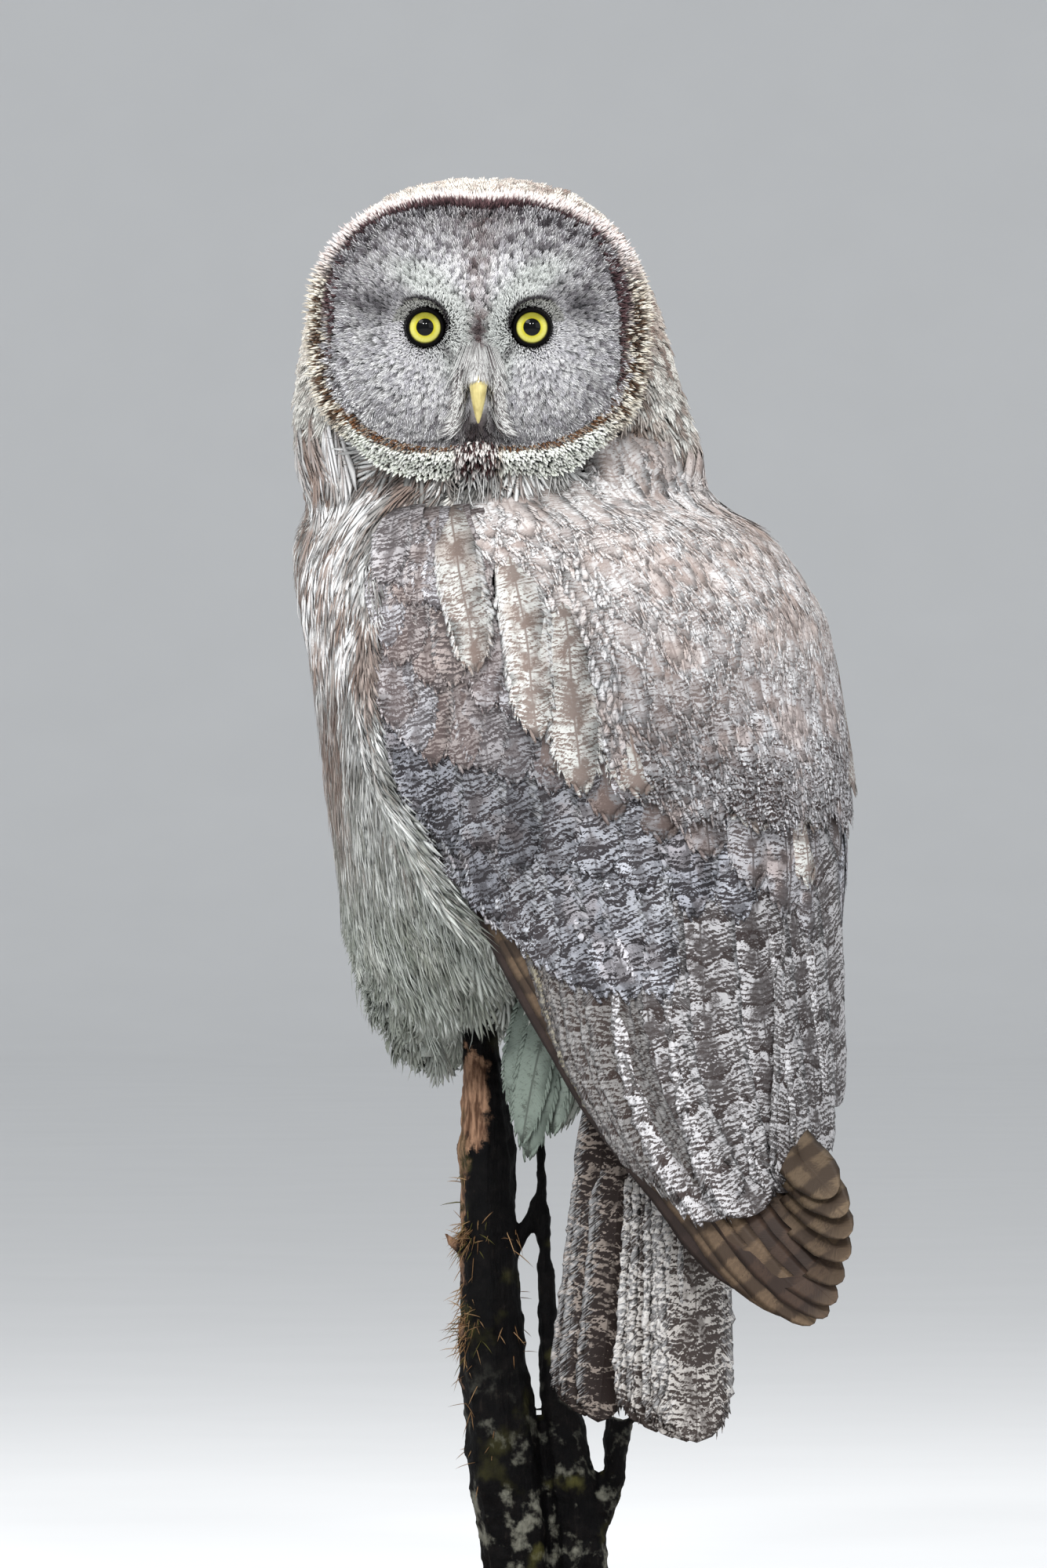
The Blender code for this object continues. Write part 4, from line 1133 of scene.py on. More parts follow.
@dataclass
class Skin:
    """One skin under the plumage of torso, head and face."""

    voxel: float = 3.4
    depth: float = 8.0
    face_depth: float = 3.6

    def build(self) -> Ground:
        """Models the skin and returns the plumage's outer surface over it."""
        piece = Bench.copies("owl_skin", "torso", "head", "facial_disc")
        Bench.melt(piece, self.voxel, 0.6, 8)
        ground = Ground(piece)
        x, z = ground.points[:, 0] - FACE.x, ground.points[:, 2] - FACE.z
        front = step(FACE.plane_y - ground.points[:, 1], -6, 4) * (1 - step(FACE.share(x, z), 1.0, 1.12))
        thin = 1 - front * (1 - self.face_depth / self.depth)
        group = piece.vertex_groups.new(name="depth")
        levels = np.round(thin, 1)
        for level in np.unique(levels):
            group.add(np.flatnonzero(levels == level).tolist(), float(level), "REPLACE")
        Bench.apply(piece, "DISPLACE", strength=-self.depth * MM, mid_level=0.0, vertex_group="depth")
        Bench.apply(piece, "SMOOTH", factor=0.5, iterations=2)
        self.dress(piece, ground)
        return ground

    def dress(self, piece: bpy.types.Object, ground: Ground) -> None:
        """Gives the skin the coat's markings, with the coat's painted shade and reflection."""
        points = ground.points
        seed = noise(points, 4, 2)
        crown, _ = crown_tint(points, seed)
        breast, _ = breast_tint(points, seed)
        tint = blend(breast, crown, step(points[:, 2], 575, 600))
        x, z = points[:, 0] - FACE.x, points[:, 2] - FACE.z
        on_face = (points[:, 1] < -34) * (1 - step(FACE.share(x, z), 0.98, 1.04))
        tint = blend(tint, np.minimum(FacialDisc.tint(x, z, seed)[0] * 1.2, 1), on_face)
        Bench.stain(piece.data, "tint", tint)
        piece.data.shade_smooth()
        Bench.settle(piece, DownSkin().make(), "plumage_pale", "torso", "head", "facial_disc")


# ------------------------------------------------------------------ face


@dataclass
class FacialDisc:
    """The feathers of the facial disc, which spread out from each eye, and the bristles round the bill."""

    tuft_apart: float = 0.54
    tufts_from: float = 9.15  # distance from the eye's middle, as are the next two
    tufts_to: float = 18.0
    fans_from: float = 15.0
    fan_apart: float = 1.72
    thick: float = 0.45
    cover_count: int = 760  # bristles over the bill's root
    bristle_count: int = 900  # bristles beside the bill

    @staticmethod
    def heading(x: Array, z: Array) -> Array:
        """The way tufts lie on the disc: away from the eyes, up between them, down beside the bill."""
        total = np.zeros((len(x), 2))
        for side in (-1, 1):
            away = beside(x - side * FACE.eye_x, z - FACE.eye_rise)
            far = np.maximum(np.linalg.norm(away, axis=1), 1)
            total += away / far[:, None] ** 2.6
        total = total / np.maximum(np.linalg.norm(total, axis=1), 1e-6)[:, None]
        up = bump(x, 0, 15) * step(z, -16, 2)
        total[:, 1] += 0.9 * up
        down = bump(x, 0, 20) * step(-z, 12, 30)
        total[:, 1] -= 0.8 * down
        total[:, 0] += 0.25 * np.sign(x) * down
        return total / np.maximum(np.linalg.norm(total, axis=1), 1e-6)[:, None]

    @staticmethod
    def tint(x: Array, z: Array, seed: Array) -> tuple[Array, Array, Array]:
        """The disc's light colour, dark colour and shaft strength at places from its middle."""
        ax = np.abs(x)
        share = FACE.share(x, z)
        eye = FACE.from_eye(x, z)
        flat = beside(x, z, 0)
        upper = step(z, -6, 30)
        outer = step(share, 0.42, 0.95)
        grey = between((216, 215, 220), (255, 255, 255), step(seed, 0.12, 0.75))
        grey = blend(grey, paint(132, 128, 132), outer * (0.04 + 0.42 * upper) + 0.04 * (x > 0) * outer)
        fleck = (seed < 0.06 + 0.10 * upper) * step(eye, 16, 22)
        grey = blend(grey, paint(112, 107, 112), 0.7 * fleck)

        # Broken dark rings round each eye
        arc = np.sin(2 * math.pi * (eye / 6.6 + 0.9 * noise(flat, 13, 4)))
        spot = step(arc, 0.1, 0.8) * step(noise(flat, 2.6, 9), 0.46, 0.62)
        strong = step(eye, 19, 40) * (0.5 + 0.4 * step(share, 0.5, 0.9))
        strong = strong * (0.45 + 0.55 * upper + 0.05 * (x > 12))
        grey = blend(grey, paint(70, 64, 68), np.clip(spot * strong * 1.1, 0, 0.95))

        # Dark patch at each eye's outer side
        lateral = bump(ax, 49, 12) * bump(z, 12, 9) + 0.5 * bump(ax, 34, 8) * bump(z, 20, 5)
        dusk = between((62, 60, 64), (120, 118, 122), seed)
        grey = blend(grey, dusk, np.clip(0.9 * lateral, 0, 0.9))

        # White brows that cross over the bill to the cheeks
        line = 10 + 0.9 * np.maximum(z - 6, 0) + 0.05 * np.minimum(z, 0)
        reach = np.interp(z, (-30, 0, 30), (6, 7, 11))
        pale = bump(ax, line, reach) * step(z, -34, -22) * (1 - step(z, 24, 40))
        inner = bump(eye, 14, 6) * (ax < FACE.eye_x) * step(z, -26, -6)
        white = between((219, 223, 219), (238, 241, 238), seed)
        grey = blend(grey, white, np.clip(pale * 1.7 + 0.5 * inner, 0, 1.0))

        # Brown stripe up the forehead and its dark core between the eyes
        stripe_width = np.interp(z, (-14, 2, 30, 62), (2.2, 4.0, 6.5, 17))
        stripe = np.exp(-((x / stripe_width) ** 2)) * step(z, -17, -9)
        stripe = stripe * (0.45 + 0.55 * step(noise(flat, 2.4, 12), 0.35, 0.6))
        stripe = stripe * np.interp(z, (0, 34, 62), (0.95, 0.62, 0.5))
        grey = blend(grey, paint(112, 88, 84), np.clip(stripe, 0, 1))
        core = np.exp(-((x / 3.0) ** 2) - (((z + 1) / 7) ** 2))
        grey = blend(grey, paint(62, 40, 40), 0.85 * core)

        # Black arch over each eye, the lid under it, the dark inner corner and the dark rim
        side_x, lift = FACE.eye_x - ax, z - FACE.eye_rise
        angle = np.degrees(np.arctan2(lift, side_x))
        arc_far = np.interp(angle, (0, 40, 90, 130), (9.6, 11.0, 13.2, 16.0))
        arch = bump(eye, arc_far + 0.5, 1.5) * step(angle, -25, 5) * (1 - step(angle, 120, 145))
        grey = blend(grey, paint(16, 14, 16), np.clip(1.25 * arch, 0, 1))
        grey = blend(grey, paint(132, 134, 122), 0.7 * ((eye < arc_far) & (lift > 3)))
        tear = bump(side_x - 0.6 * (-lift - 8), 8.5, 2.2) * bump(lift, -12, 5)
        grey = blend(grey, paint(62, 56, 60), 0.75 * tear)
        grey = blend(grey, paint(22, 19, 21), 0.85 * bump(eye, 9.4, 0.8))

        # Grey beside the bill and the dark, streaked chin
        bill_side = np.exp(-((ax - 5.5) / 3.4) ** 2) * bump(z, -27, 9)
        grey = blend(grey, paint(104, 100, 94), 0.55 * bill_side)
        chin = bump(x, -1, 12) * step(-z, 37, 45)
        hair = step(noise(beside(x, z * 0.25, 0), 1.9, 20), 0.42, 0.6)
        grey = blend(grey, between((70, 50, 50), (182, 174, 172), hair), 0.9 * chin)
        return np.clip(grey, 0, 1), between((104, 99, 103), (66, 60, 64), outer), 0.35 + 0.6 * outer

    @classmethod
    def grid(cls, apart: float, near: float, far: float, rng: np.random.Generator) -> tuple[Array, Array]:
        """Seeds on the disc, between two distances from the eyes."""
        across = np.arange(-FACE.half_width, FACE.half_width, apart)
        up = np.arange(-70, 70, apart * 0.95)
        x, z = (part.ravel() for part in np.meshgrid(across, up))
        x = x + rng.uniform(-0.6, 0.6, len(x)) * apart
        z = z + rng.uniform(-0.6, 0.6, len(z)) * apart
        eye = FACE.from_eye(x, z)
        bill = (np.abs(x) < 4.6) & (z < -19) & (z > -46)
        keep = (FACE.share(x, z) < FACE.ring(x, z)[0] - 0.01) & (eye > near) & (eye < far) & ~bill
        return x[keep], z[keep]

    def build(self, rng: np.random.Generator) -> None:
        """Grows short tufts round the eyes, fans over the rest of the disc, and the bristles."""
        soft = Plumage(
            "disc_plumage", streak=0.1, painted_root_shade=0.82, barb=1.0, barb_pitch=0.8, roughness=0.85
        ).make()
        x, z = self.grid(self.tuft_apart, self.tufts_from, self.tufts_to, rng)
        length = np.interp(FACE.from_eye(x, z), (9.2, 18), (1.5, 4.2))
        self.layer("disc_tufts", TUFT.model(), x, z, length, np.full(len(x), 0.7), (0.2, 0.9), soft, rng)
        form = FAN.model()
        for name, side in (("left", -1), ("right", 1)):
            x, z = self.grid(self.fan_apart, self.fans_from, math.inf, rng)
            x, z = x[x * side >= 0], z[x * side >= 0]
            eye = FACE.from_eye(x, z)
            length = np.interp(eye, (15, 60), (5.0, 8.0))
            width = np.interp(eye, (15, 50), (2.2, 3.8))
            self.layer(f"disc_feathers_{name}", form, x, z, length, width, (0.2, 1.9), soft, rng)
        probe = Bench.copies("bill_probe", "bill_upper")
        bill = Ground(probe)
        bpy.data.objects.remove(probe)
        self.bristles(bill, rng, soft)

    def layer(
        self, name: str, form: Template, x: Array, z: Array, length: Array, width: Array,
        rise: tuple[float, float], finish: bpy.types.Material, rng: np.random.Generator,
    ) -> None:
        """Grows one layer of feathers on the disc from its seeds, with tips between two heights over it."""
        way = self.heading(x, z) + rng.normal(0, 0.19, (len(x), 2))
        length = length * rng.uniform(0.7, 1.3, len(x))
        brow = bump(np.abs(x), 12 + 0.9 * np.maximum(z - 6, 0), 9)
        calm = brow * step(z, -34, -22) * (1 - step(z, 24, 40))
        loose = (FACE.from_eye(x, z) > 15) * (1 - 0.8 * calm)
        tilt = rng.normal(0, 0.22, (len(x), 3)) * loose[:, None]
        tips = rng.uniform(*rise, len(x)) * (1 - 0.5 * calm)
        line, out = [], []
        for t in form.shares:
            level = -2.2 + (2.2 + tips) * min(t * 1.5, 1.0)
            place, normal = FACE.place(x + way[:, 0] * length * t, z + way[:, 1] * length * t, level)
            line.append(place)
            out.append(unit(normal + tilt))
        seed = rng.random(len(x))
        tint, ink, shaft = self.tint(x + way[:, 0] * length * 0.6, z + way[:, 1] * length * 0.6, seed)
        width = width * rng.uniform(0.75, 1.2, len(x))
        marks = beside(0, 0, shaft)
        lay = Lay(np.stack(line, 1), np.stack(out, 1), width, self.thick, tint, ink, marks, ragged=0.03)
        Bench.settle(grow(name, form, lay, rng), finish, "disc_feather")

    def bristles(self, bill: Ground, rng: np.random.Generator, finish: bpy.types.Material) -> None:
        """Grows the bristles over the bill's root and the curved ones past the bill and over the chin."""
        form = STRAND.model()
        count = self.cover_count
        x = rng.normal(0, 3.4, count)
        z = rng.uniform(-19, -4, count)
        length = np.clip(1.3 * (z + 23.5 + 1.6 * np.abs(x)) + rng.uniform(-3, 3, count), 6, 24)
        lean = np.sign(x) * (0.02 + 0.03 * np.abs(x))
        self.strands("bill_cover", form, x, z, lean, length, 3.0, finish, rng, bill)
        count = self.bristle_count
        side = rng.choice((-1.0, 1.0), count)
        begin = rng.uniform(0, 1, count)
        x = side * (3.8 + 2.2 * begin + rng.uniform(0, 3, count))
        z = -17 - 24 * begin + rng.uniform(-3, 3, count)
        lean = side * (rng.uniform(-0.1, 0.45, count) + 0.75 * begin**2)
        self.strands("bill_bristles", form, x, z, lean, rng.uniform(8, 15, count), 5.4, finish, rng)

    @staticmethod
    def strands(
        name: str, form: Template, x: Array, z: Array, lean: Array, length: Array, rise: float,
        finish: bpy.types.Material, rng: np.random.Generator, over: Optional[Ground] = None,
    ) -> None:
        """Grows curved strands that lean aside as they go down, and lie over the bill where it is given."""
        line, out = [], []
        for t in form.shares:
            level = -2.0 + (2.0 + rise) * math.sin(math.pi * (0.08 + 0.6 * t))
            place, normal = FACE.place(x + length * lean * t**1.5, z - length * t * (1 - 0.25 * t), level)
            for at in place if over else ():
                hit = over.tree.ray_cast((at[0], -200.0, at[2]), (0.0, 1.0, 0.0))[0]
                at[1] = min(at[1], hit[1] - 0.8 * math.sin(math.pi * min(t + 0.2, 1))) if hit else at[1]
            line.append(place)
            out.append(normal)
        tint = between((120, 114, 114), (240, 240, 238), step(rng.random(len(x)), 0.15, 0.5))
        width = rng.uniform(0.4, 0.75, len(x))
        lay = Lay(
            np.stack(line, 1), np.stack(out, 1), width, 0.4, tint, paint(60, 50, 50), np.array((0, 0, 0.2)),
            ragged=0.0,
        )
        Bench.settle(grow(name, form, lay, rng), finish, "disc_feather")


@dataclass
class Ruff:
    """The ring of short dense tufts round the disc, the white bands under it and the dark chin between."""

    rows: int = 13
    apart: float = 0.95
    length: float = 5.6

    def build(self, rng: np.random.Generator) -> None:
        """Grows the ring row by row from the disc's edge outwards."""
        x_all, z_all, row_all = [], [], []
        for row in range(self.rows):
            count = int(470 / self.apart)
            turn = (np.arange(count) + rng.uniform(-0.5, 0.5, count)) / count * 2 * math.pi
            outline = FACE.outline(turn)
            inner, outer = FACE.ring(np.cos(turn), np.sin(turn) * FACE.half_height / FACE.half_width)
            share = inner - 0.012 + (outer - inner + 0.012) * row / (self.rows - 1)
            share = share + rng.uniform(-0.006, 0.006, count)
            x_all.append(outline * share * np.cos(turn))
            z_all.append(outline * share * np.sin(turn))
            row_all.append(np.full(count, row / (self.rows - 1)))
        x, z, row = (np.concatenate(parts) for parts in (x_all, z_all, row_all))
        share = FACE.share(x, z)
        depth = FACE.depth(x, z) - 150 * (1 - 0.7 * step(-z, 30, 46)) * np.maximum(share - 1.0, 0) ** 1.2
        roots = beside(FACE.x + x, FACE.plane_y - depth, FACE.z + z)
        radial = unit(beside(x, 0, z))
        low = step(-z, 36, 52)
        roots[:, 1] -= 7.5 * low
        way = radial.copy()
        way[:, 1] += np.interp(share, (0.93, 1.0, 1.06), (-0.1, 0.35, 0.9)) * (1 - low) - 0.55 * low
        way[:, 2] -= 0.25 * low
        way = unit(way + rng.normal(0, 0.16, way.shape))
        flare = np.interp(share, (0.93, 1.04), (-0.1, 0.8)) * (1 - 1.1 * low)
        forward, upward = np.array((0.0, -1.0, 0.0)), np.array((0.0, 0.0, 0.9))
        out = unit(forward + low[:, None] * upward + radial * flare[:, None])
        form = TUFT.model()
        chin = step(-z, 44, 54) * (1 - step(np.abs(x - 1), 10, 15))
        length = self.length * rng.uniform(0.7, 1.2, len(x)) * (1 + 0.5 * chin)
        t = form.shares[None, :, None]
        rise = (np.interp(share, (0.92, 1.05), (2.4, 1.4)) + (1.2 * chin + 1.2 * low))[:, None, None]
        line = roots[:, None] + (way * length[:, None])[:, None] * t
        line = line + out[:, None] * (-1.6 + (1.6 + rise) * np.minimum(t * 1.6, 1))
        tint = self.tint(x, z, row, rng)
        bright = step(tint.min(1), 0.5, 0.8) * low
        width = rng.uniform(0.9, 1.5, len(x)) * (1 + 0.9 * bright)
        lay = Lay(line, form.steady(out), width, 0.5, tint, tint * 0.6, np.array((0, 0, 0.25)), ragged=0.0)
        finish = Plumage("ruff_plumage", streak=0.12, barb=0.2, painted_root_shade=1.3, roughness=0.85)
        Bench.settle(grow("ruff_tufts", form, lay, rng), finish.make(), "disc_feather")

    @staticmethod
    def tint(x: Array, z: Array, row: Array, rng: np.random.Generator) -> Array:
        """The ring's colours by place and row."""
        seed = rng.random(len(x))
        flat = beside(x, z, 0)
        ax = np.abs(x)
        top = step(z, 16, 40)
        low = step(-z, 26, 46)
        foot = step(-z, 44, 52)
        top = np.maximum(top, step(z, -2, 14) * (1 - step(row, 0.3, 0.5)))
        maroon = between((50, 34, 37), (96, 72, 74), seed)
        rust = between((62, 40, 30), (134, 94, 62), seed)
        pink = between((200, 184, 180), (238, 232, 230), seed)
        cream = between((214, 204, 186), (246, 242, 230), seed)
        fleck = step(noise(flat, (1.3, 1.5, 1), 51) + 0.35 * (seed - 0.5), 0.46, 0.55)
        speckled = fleck * (1 - 0.6 * step(row, 0.75, 1.0))
        sides = blend(cream, between((56, 42, 38), (98, 74, 54), seed), speckled)
        tint = blend(sides, pink, top)
        inner = (1 - step(row, 0.40, 0.58)) * top + (1 - step(row, 0.10, 0.22)) * 0.9 * (1 - low)
        tint = blend(tint, maroon, np.clip(inner, 0, 1))
        out = (6, 22, 40, 60)
        edge = np.where(
            x < 0, np.interp(-x, out, (0.05, 0.16, 0.28, 0.36)), np.interp(x, out, (0.05, 0.12, 0.2, 0.34))
        )
        band = low * (1 - step(row - edge, -0.02, 0.08)) * (0.65 + 0.35 * fleck)
        tint = blend(tint, rust, np.clip(band, 0, 1))
        white = step(-z, 36, 45) * step(ax, 9, 13) * (1 - step(ax, 54, 68)) * step(row - edge, -0.02, 0.06)
        tint = blend(tint, between((240, 244, 232), (255, 255, 250), seed), white)
        chin = foot * (1 - step(np.abs(x + 1), 8, 12))
        hair = (rng.random(len(x)) < 0.45).astype(float)
        return blend(tint, between((78, 54, 54), (226, 220, 216), hair), chin)


@dataclass
class HeadCoat:
    """The short plumage of crown, nape and neck."""

    spacing: float = 4.25

    def build(self, ground: Ground, rng: np.random.Generator) -> None:
        """Grows the coat over the head outside the facial disc, in two pieces by side."""
        form = NECK_FAN.model()
        finish = Plumage(
            "crown_plumage", pitch=8.0, dark=-0.5, streak=0.22, barb=0.4, painted_root_shade=0.25, cloud=0.35
        ).make()
        for name, side in (("left", 1), ("right", -1)):

            def apart(points: Array, normals: Array) -> Array:
                """The distance between seeds."""
                x, z = points[:, 0] - FACE.x, points[:, 2] - FACE.z
                off_disc = (FACE.share(x, z) > FACE.ring(x, z)[1] - 0.01) | (points[:, 1] > -30)
                here = off_disc & (points[:, 2] > 572) & (x * side > 0)
                return np.where(here, self.spacing + 1.0 * step(640 - points[:, 2], 0, 50), 0)

            roots, normals = ground.scatter(apart, rng)
            way = body_flow(roots) + rng.normal(0, 0.12, roots.shape)
            low = step(650 - roots[:, 2], 0, 60)
            length = (11 + 17 * low) * rng.uniform(0.8, 1.25, len(roots))
            middle, tip = rng.uniform(-0.8, 0.8, len(roots)), rng.uniform(-0.8, 1.8, len(roots))
            levels = (-5.5, -2.0 + middle, -1.2 + tip + 2.2 * low)
            line, out = ground.follow(roots, normals, way, length, levels, form.shares)
            tint, ink = crown_tint(roots, rng.random(len(roots)))
            marks = beside(0.5 - 0.15 * low, 0.0, 0.3 + 0.5 * low)
            width = (6.4 + 6.1 * low) * rng.uniform(0.8, 1.2, len(roots))
            lay = Lay(line, out, width, 0.8, tint, ink, marks, droop=0.012, ragged=0.05)
            Bench.settle(grow(f"head_feathers_{name}", form, lay, rng), finish, "plumage_grey")


# ------------------------------------------------------------------ breast, belly and flanks


@dataclass
class BodyCoat:
    """The long silky plumage of breast, flanks and belly, in a layer of plumes under fine strands."""

    plume_apart: float = 6.8
    strand_apart: float = 3.65
    lock_apart: float = 7.5
    flank_count: int = 320

    @staticmethod
    def bare(points: Array) -> Array:
        """Where the folded wings cover the body, so that nothing grows."""
        back, left = body_axes(points)
        middle, half_width, depth, edge = WING.at(points[:, 2])
        angle = np.abs(np.degrees(np.arctan2(left / half_width, (back - middle) / depth)))
        return (angle < edge - 9) & (points[:, 2] > 330) & (points[:, 2] < 574)

    def apart(self, side: Side, spacing: float) -> Callable[[Array, Array], Array]:
        """The distance between seeds on a side, for places and normals."""

        def here(points: Array, normals: Array) -> Array:
            """That distance where the coat grows, and 0 elsewhere."""
            _, left = body_axes(points)
            grown = ~self.bare(points) & (points[:, 2] < 598) & (left * side.value > -0.5)
            return np.where(grown, spacing, 0)

        return here

    def build(self, ground: Ground, rng: np.random.Generator) -> None:
        """Grows both layers by side, and the flank plumes that lap over the wings' leading edges."""
        finish = Plumage(
            "silk_plumage", streak=0.14, barb=0.35, barb_pitch=1.1, painted_root_shade=0.3, roughness=0.7
        ).make()
        plume, strand = PLUME.model(), STRAND.model()
        layers = (
            ("plumes", plume, self.plume_apart, (46, 18), (-6.0, -0.6, 1.4)),
            ("strands", strand, self.strand_apart, (42, 0.95), (-3.5, 0.8, 2.6)),
        )
        for side in Side:
            for kind, form, spacing, size, levels in layers:
                seeds = ground.scatter(self.apart(side, spacing), rng)
                name = f"body_{kind}_{side.name.lower()}"
                self.layer(name, form, ground, *seeds, rng, finish, size, levels)
            self.flank(side, plume, rng, finish)
        self.locks(ground, plume, rng, finish)

    def locks(
        self, ground: Ground, form: Template, rng: np.random.Generator, finish: bpy.types.Material
    ) -> None:
        """Grows the long white plumes that sweep down from under the chin on the face's left."""

        def apart(points: Array, normals: Array) -> Array:
            """The distance between seeds."""
            x, z = points[:, 0], points[:, 2]
            below = FACE.share(x - FACE.x, z - FACE.z) > 1.02
            here = below & (points[:, 1] < -5) & (x < -58) & (z > 520) & (z < 622) & (normals[:, 1] < 0.2)
            return np.where(here, self.lock_apart, 0)

        roots, normals = ground.scatter(apart, rng)
        count = len(roots)
        inward = step(roots[:, 0], -120, -70)
        way = beside(-0.15 - 0.85 * inward, -0.1, -1.0) + rng.normal(0, 0.08, roots.shape)
        length = rng.uniform(42, 66, count)
        levels = (-4.0, 2.4 + rng.uniform(-1, 1, count), 3.4 + rng.uniform(-1.2, 1.6, count))
        line, out = ground.follow(roots, normals, way, length, levels, form.shares, 0.0, -5.0 * inward)
        seed = rng.random(count)
        tint = between((160, 157, 154), (244, 244, 244), step(seed, 0.1, 0.8))
        tint = blend(tint, paint(132, 110, 98), 0.75 * (rng.random(count) < 0.22))
        width = rng.uniform(12, 19, count)
        marks = np.array((0.0, 0.0, 0.55))
        lay = Lay(line, out, width, 0.7, tint, paint(140, 114, 100), marks, droop=0.01, ragged=0.05)
        Bench.settle(grow("neck_plumes", form, lay, rng), finish, "plumage_pale")

    def layer(
        self, name: str, form: Template, ground: Ground, roots: Array, normals: Array,
        rng: np.random.Generator, finish: bpy.types.Material, size: tuple[float, float],
        levels: tuple[float, float, float],
    ) -> None:
        """Grows one layer from its seeds, with length and width from size."""
        count = len(roots)
        way = np.broadcast_to(np.array((0.08, 0.0, -1.0)), roots.shape) + rng.normal(0, 0.13, roots.shape)
        way[:, 0] -= 0.6 * step(roots[:, 2], 540, 590) * step(-roots[:, 0], 50, 80)
        belly = 1 - step(roots[:, 2], 340, 410)
        length = size[0] * rng.uniform(0.7, 1.3, count) * (1 - 0.3 * step(roots[:, 2], 540, 590))
        bottom = np.interp(
            roots[:, 0], (-125, -112, -106, -94, -85, -66, -50, -30), (384, 358, 342, 324, 306, 300, 316, 330)
        )
        most = np.where(rng.random(count) < 0.05, 20, 0) + 0.95 * (roots[:, 2] - bottom)
        length = np.clip(np.minimum(length, most), 5, None)
        outs = [level + rng.normal(0, 0.6, count) for level in levels]
        bow = rng.normal(0, 2.0, count)
        line, out = ground.follow(roots, normals, way, length, outs, form.shares, 0.9 * belly, bow)
        tint, ink = breast_tint(roots, rng.random(count))
        shaft = (0.15 + 0.7 * (noise(roots, (16, 16, 40), 31) > 0.56)) * step(roots[:, 2], 380, 470)
        width = size[1] * rng.uniform(0.75, 1.25, count)
        lay = Lay(line, out, width, 0.8, tint, ink, beside(0, 0, shaft), droop=0.008, ragged=0.05)
        Bench.settle(grow(name, form, lay, rng), finish, "plumage_pale")

    def flank(self, side: Side, form: Template, rng: np.random.Generator, finish: bpy.types.Material) -> None:
        """Grows the flank plumes on one side."""
        count = self.flank_count
        root_z = rng.uniform(398, 584, count)
        length = rng.uniform(30, 52, count)
        t = form.shares[None, :]
        height = root_z[:, None] - length[:, None] * t
        near = rng.uniform(-17, -5, count)[:, None]
        far = rng.uniform(-8, 9, count)[:, None]
        angle = WingFace.inset(height, near + (far - near) * t**1.3)
        top = rng.uniform(-4.5, 2.2, count)[:, None]
        line, out = WingFace.place(side, angle, height, -13 + (13 + top) * np.minimum(t * 1.5, 1))
        tint, ink = breast_tint(line[:, 0], rng.random(count))
        width = rng.uniform(8, 16, count)
        marks = np.array((0, 0, 0.3))
        lay = Lay(line, out, width, 0.7, tint, ink, marks, droop=0.006, ragged=0.06)
        Bench.settle(grow(f"flank_plumes_{side.name.lower()}", form, lay, rng), finish, "plumage_pale")


# ------------------------------------------------------------------ wings


class Tract(Enum):
    """A tract of wing feathers, by its colours."""

    PRIMARY = "primary"
    SECONDARY = "secondary"
    TERTIAL = "tertial"
    COVERT = "covert"
    WRIST = "wrist"
    SCAPULAR = "scapular"
    LOBE = "lobe"
    MANTLE = "mantle"


@dataclass(frozen=True)
class Shades:
    """A tract's pale colours, dark colours, markings and painted shade where the plumage lies deeper."""

    light: tuple[Colour, Colour]
    dark: tuple[Colour, Colour]
    marks: tuple[float, float, float]
    painted_shade: Optional[PaintedShade] = None

    def at(self, place: Array, seed: Array) -> tuple[Array, Array, Array]:
        """The colours, with any painted shade, and the markings of feathers at these places."""
        light = between(*self.light, seed)
        # Painted shade where the plumage lies deeper
        if self.painted_shade:
            light = light * (1 - self.painted_shade.loss(place))[:, None]
        return light, between(*self.dark, seed), np.array(self.marks)


# COVERT and LOBE carry painted shade where coverts lie under the lobes and between the lobes
SHADES = {
    Tract.PRIMARY: Shades(((60, 45, 36), (72, 54, 43)), ((34, 24, 20), (42, 31, 26)), (0.2, 0.0, 0.7)),
    Tract.TERTIAL: Shades(((194, 192, 194), (214, 212, 214)), ((48, 39, 38), (66, 55, 52)), (0.94, 1.0, 1.0)),
    Tract.COVERT: Shades(
        ((172, 174, 183), (210, 212, 219)), ((36, 31, 34), (54, 46, 48)), (0.95, 0.95, 0.8),
        PaintedShade(-38, 432, 36, 44, 0.5),
    ),
    Tract.LOBE: Shades(
        ((196, 196, 192), (216, 216, 212)), ((96, 77, 69), (116, 96, 87)), (0.86, 0.5, 1.0),
        PaintedShade(44, 460, 34, 50, 0.42),
    ),
}
SECONDARY_LIGHTS = (
    (150, 138, 122), (128, 120, 99), (118, 107, 97), (128, 121, 115), (130, 126, 123), (140, 137, 135)
)
SECONDARY_LINES = (1.22, 0.8, 1.1, 1.0, 0.97, 0.94)
# Painted shade where the wrist coverts and scapulars lie deeper
WRIST_PAINTED_SHADE = PaintedShade(-22, 462, 34, 34, 0.62)
SCAPULAR_PAINTED_SHADE = PaintedShade(20, 462, 42, 44, 0.5)


@dataclass(frozen=True)
class Tier:
    """A tier of wing feathers, told by a few of its roots and tips in x and z on the left wing's face.

    Widths, and the levels out of the face, go from the first feather to the last.
    """

    count: int
    roots: tuple[tuple[float, float], ...]
    tips: tuple[tuple[float, float], ...]
    width: tuple[float, ...]
    out: tuple[float, float]
    tract: Tract
    jitter: float = 0.0

    def line(self, points: Sequence[tuple[float, float]], rng: np.random.Generator) -> tuple[Array, Array]:
        """Angles and heights of the tier's feathers along a run of points."""
        knots = range(len(points))
        at = np.linspace(0, len(points) - 1, self.count)
        x, z = (np.interp(at, knots, column) for column in np.array(points, float).T)
        x = x + rng.uniform(-0.5, 0.5, self.count) * self.jitter
        z = z + rng.uniform(-1, 1, self.count) * self.jitter
        return WingFace.seen(x, z), z


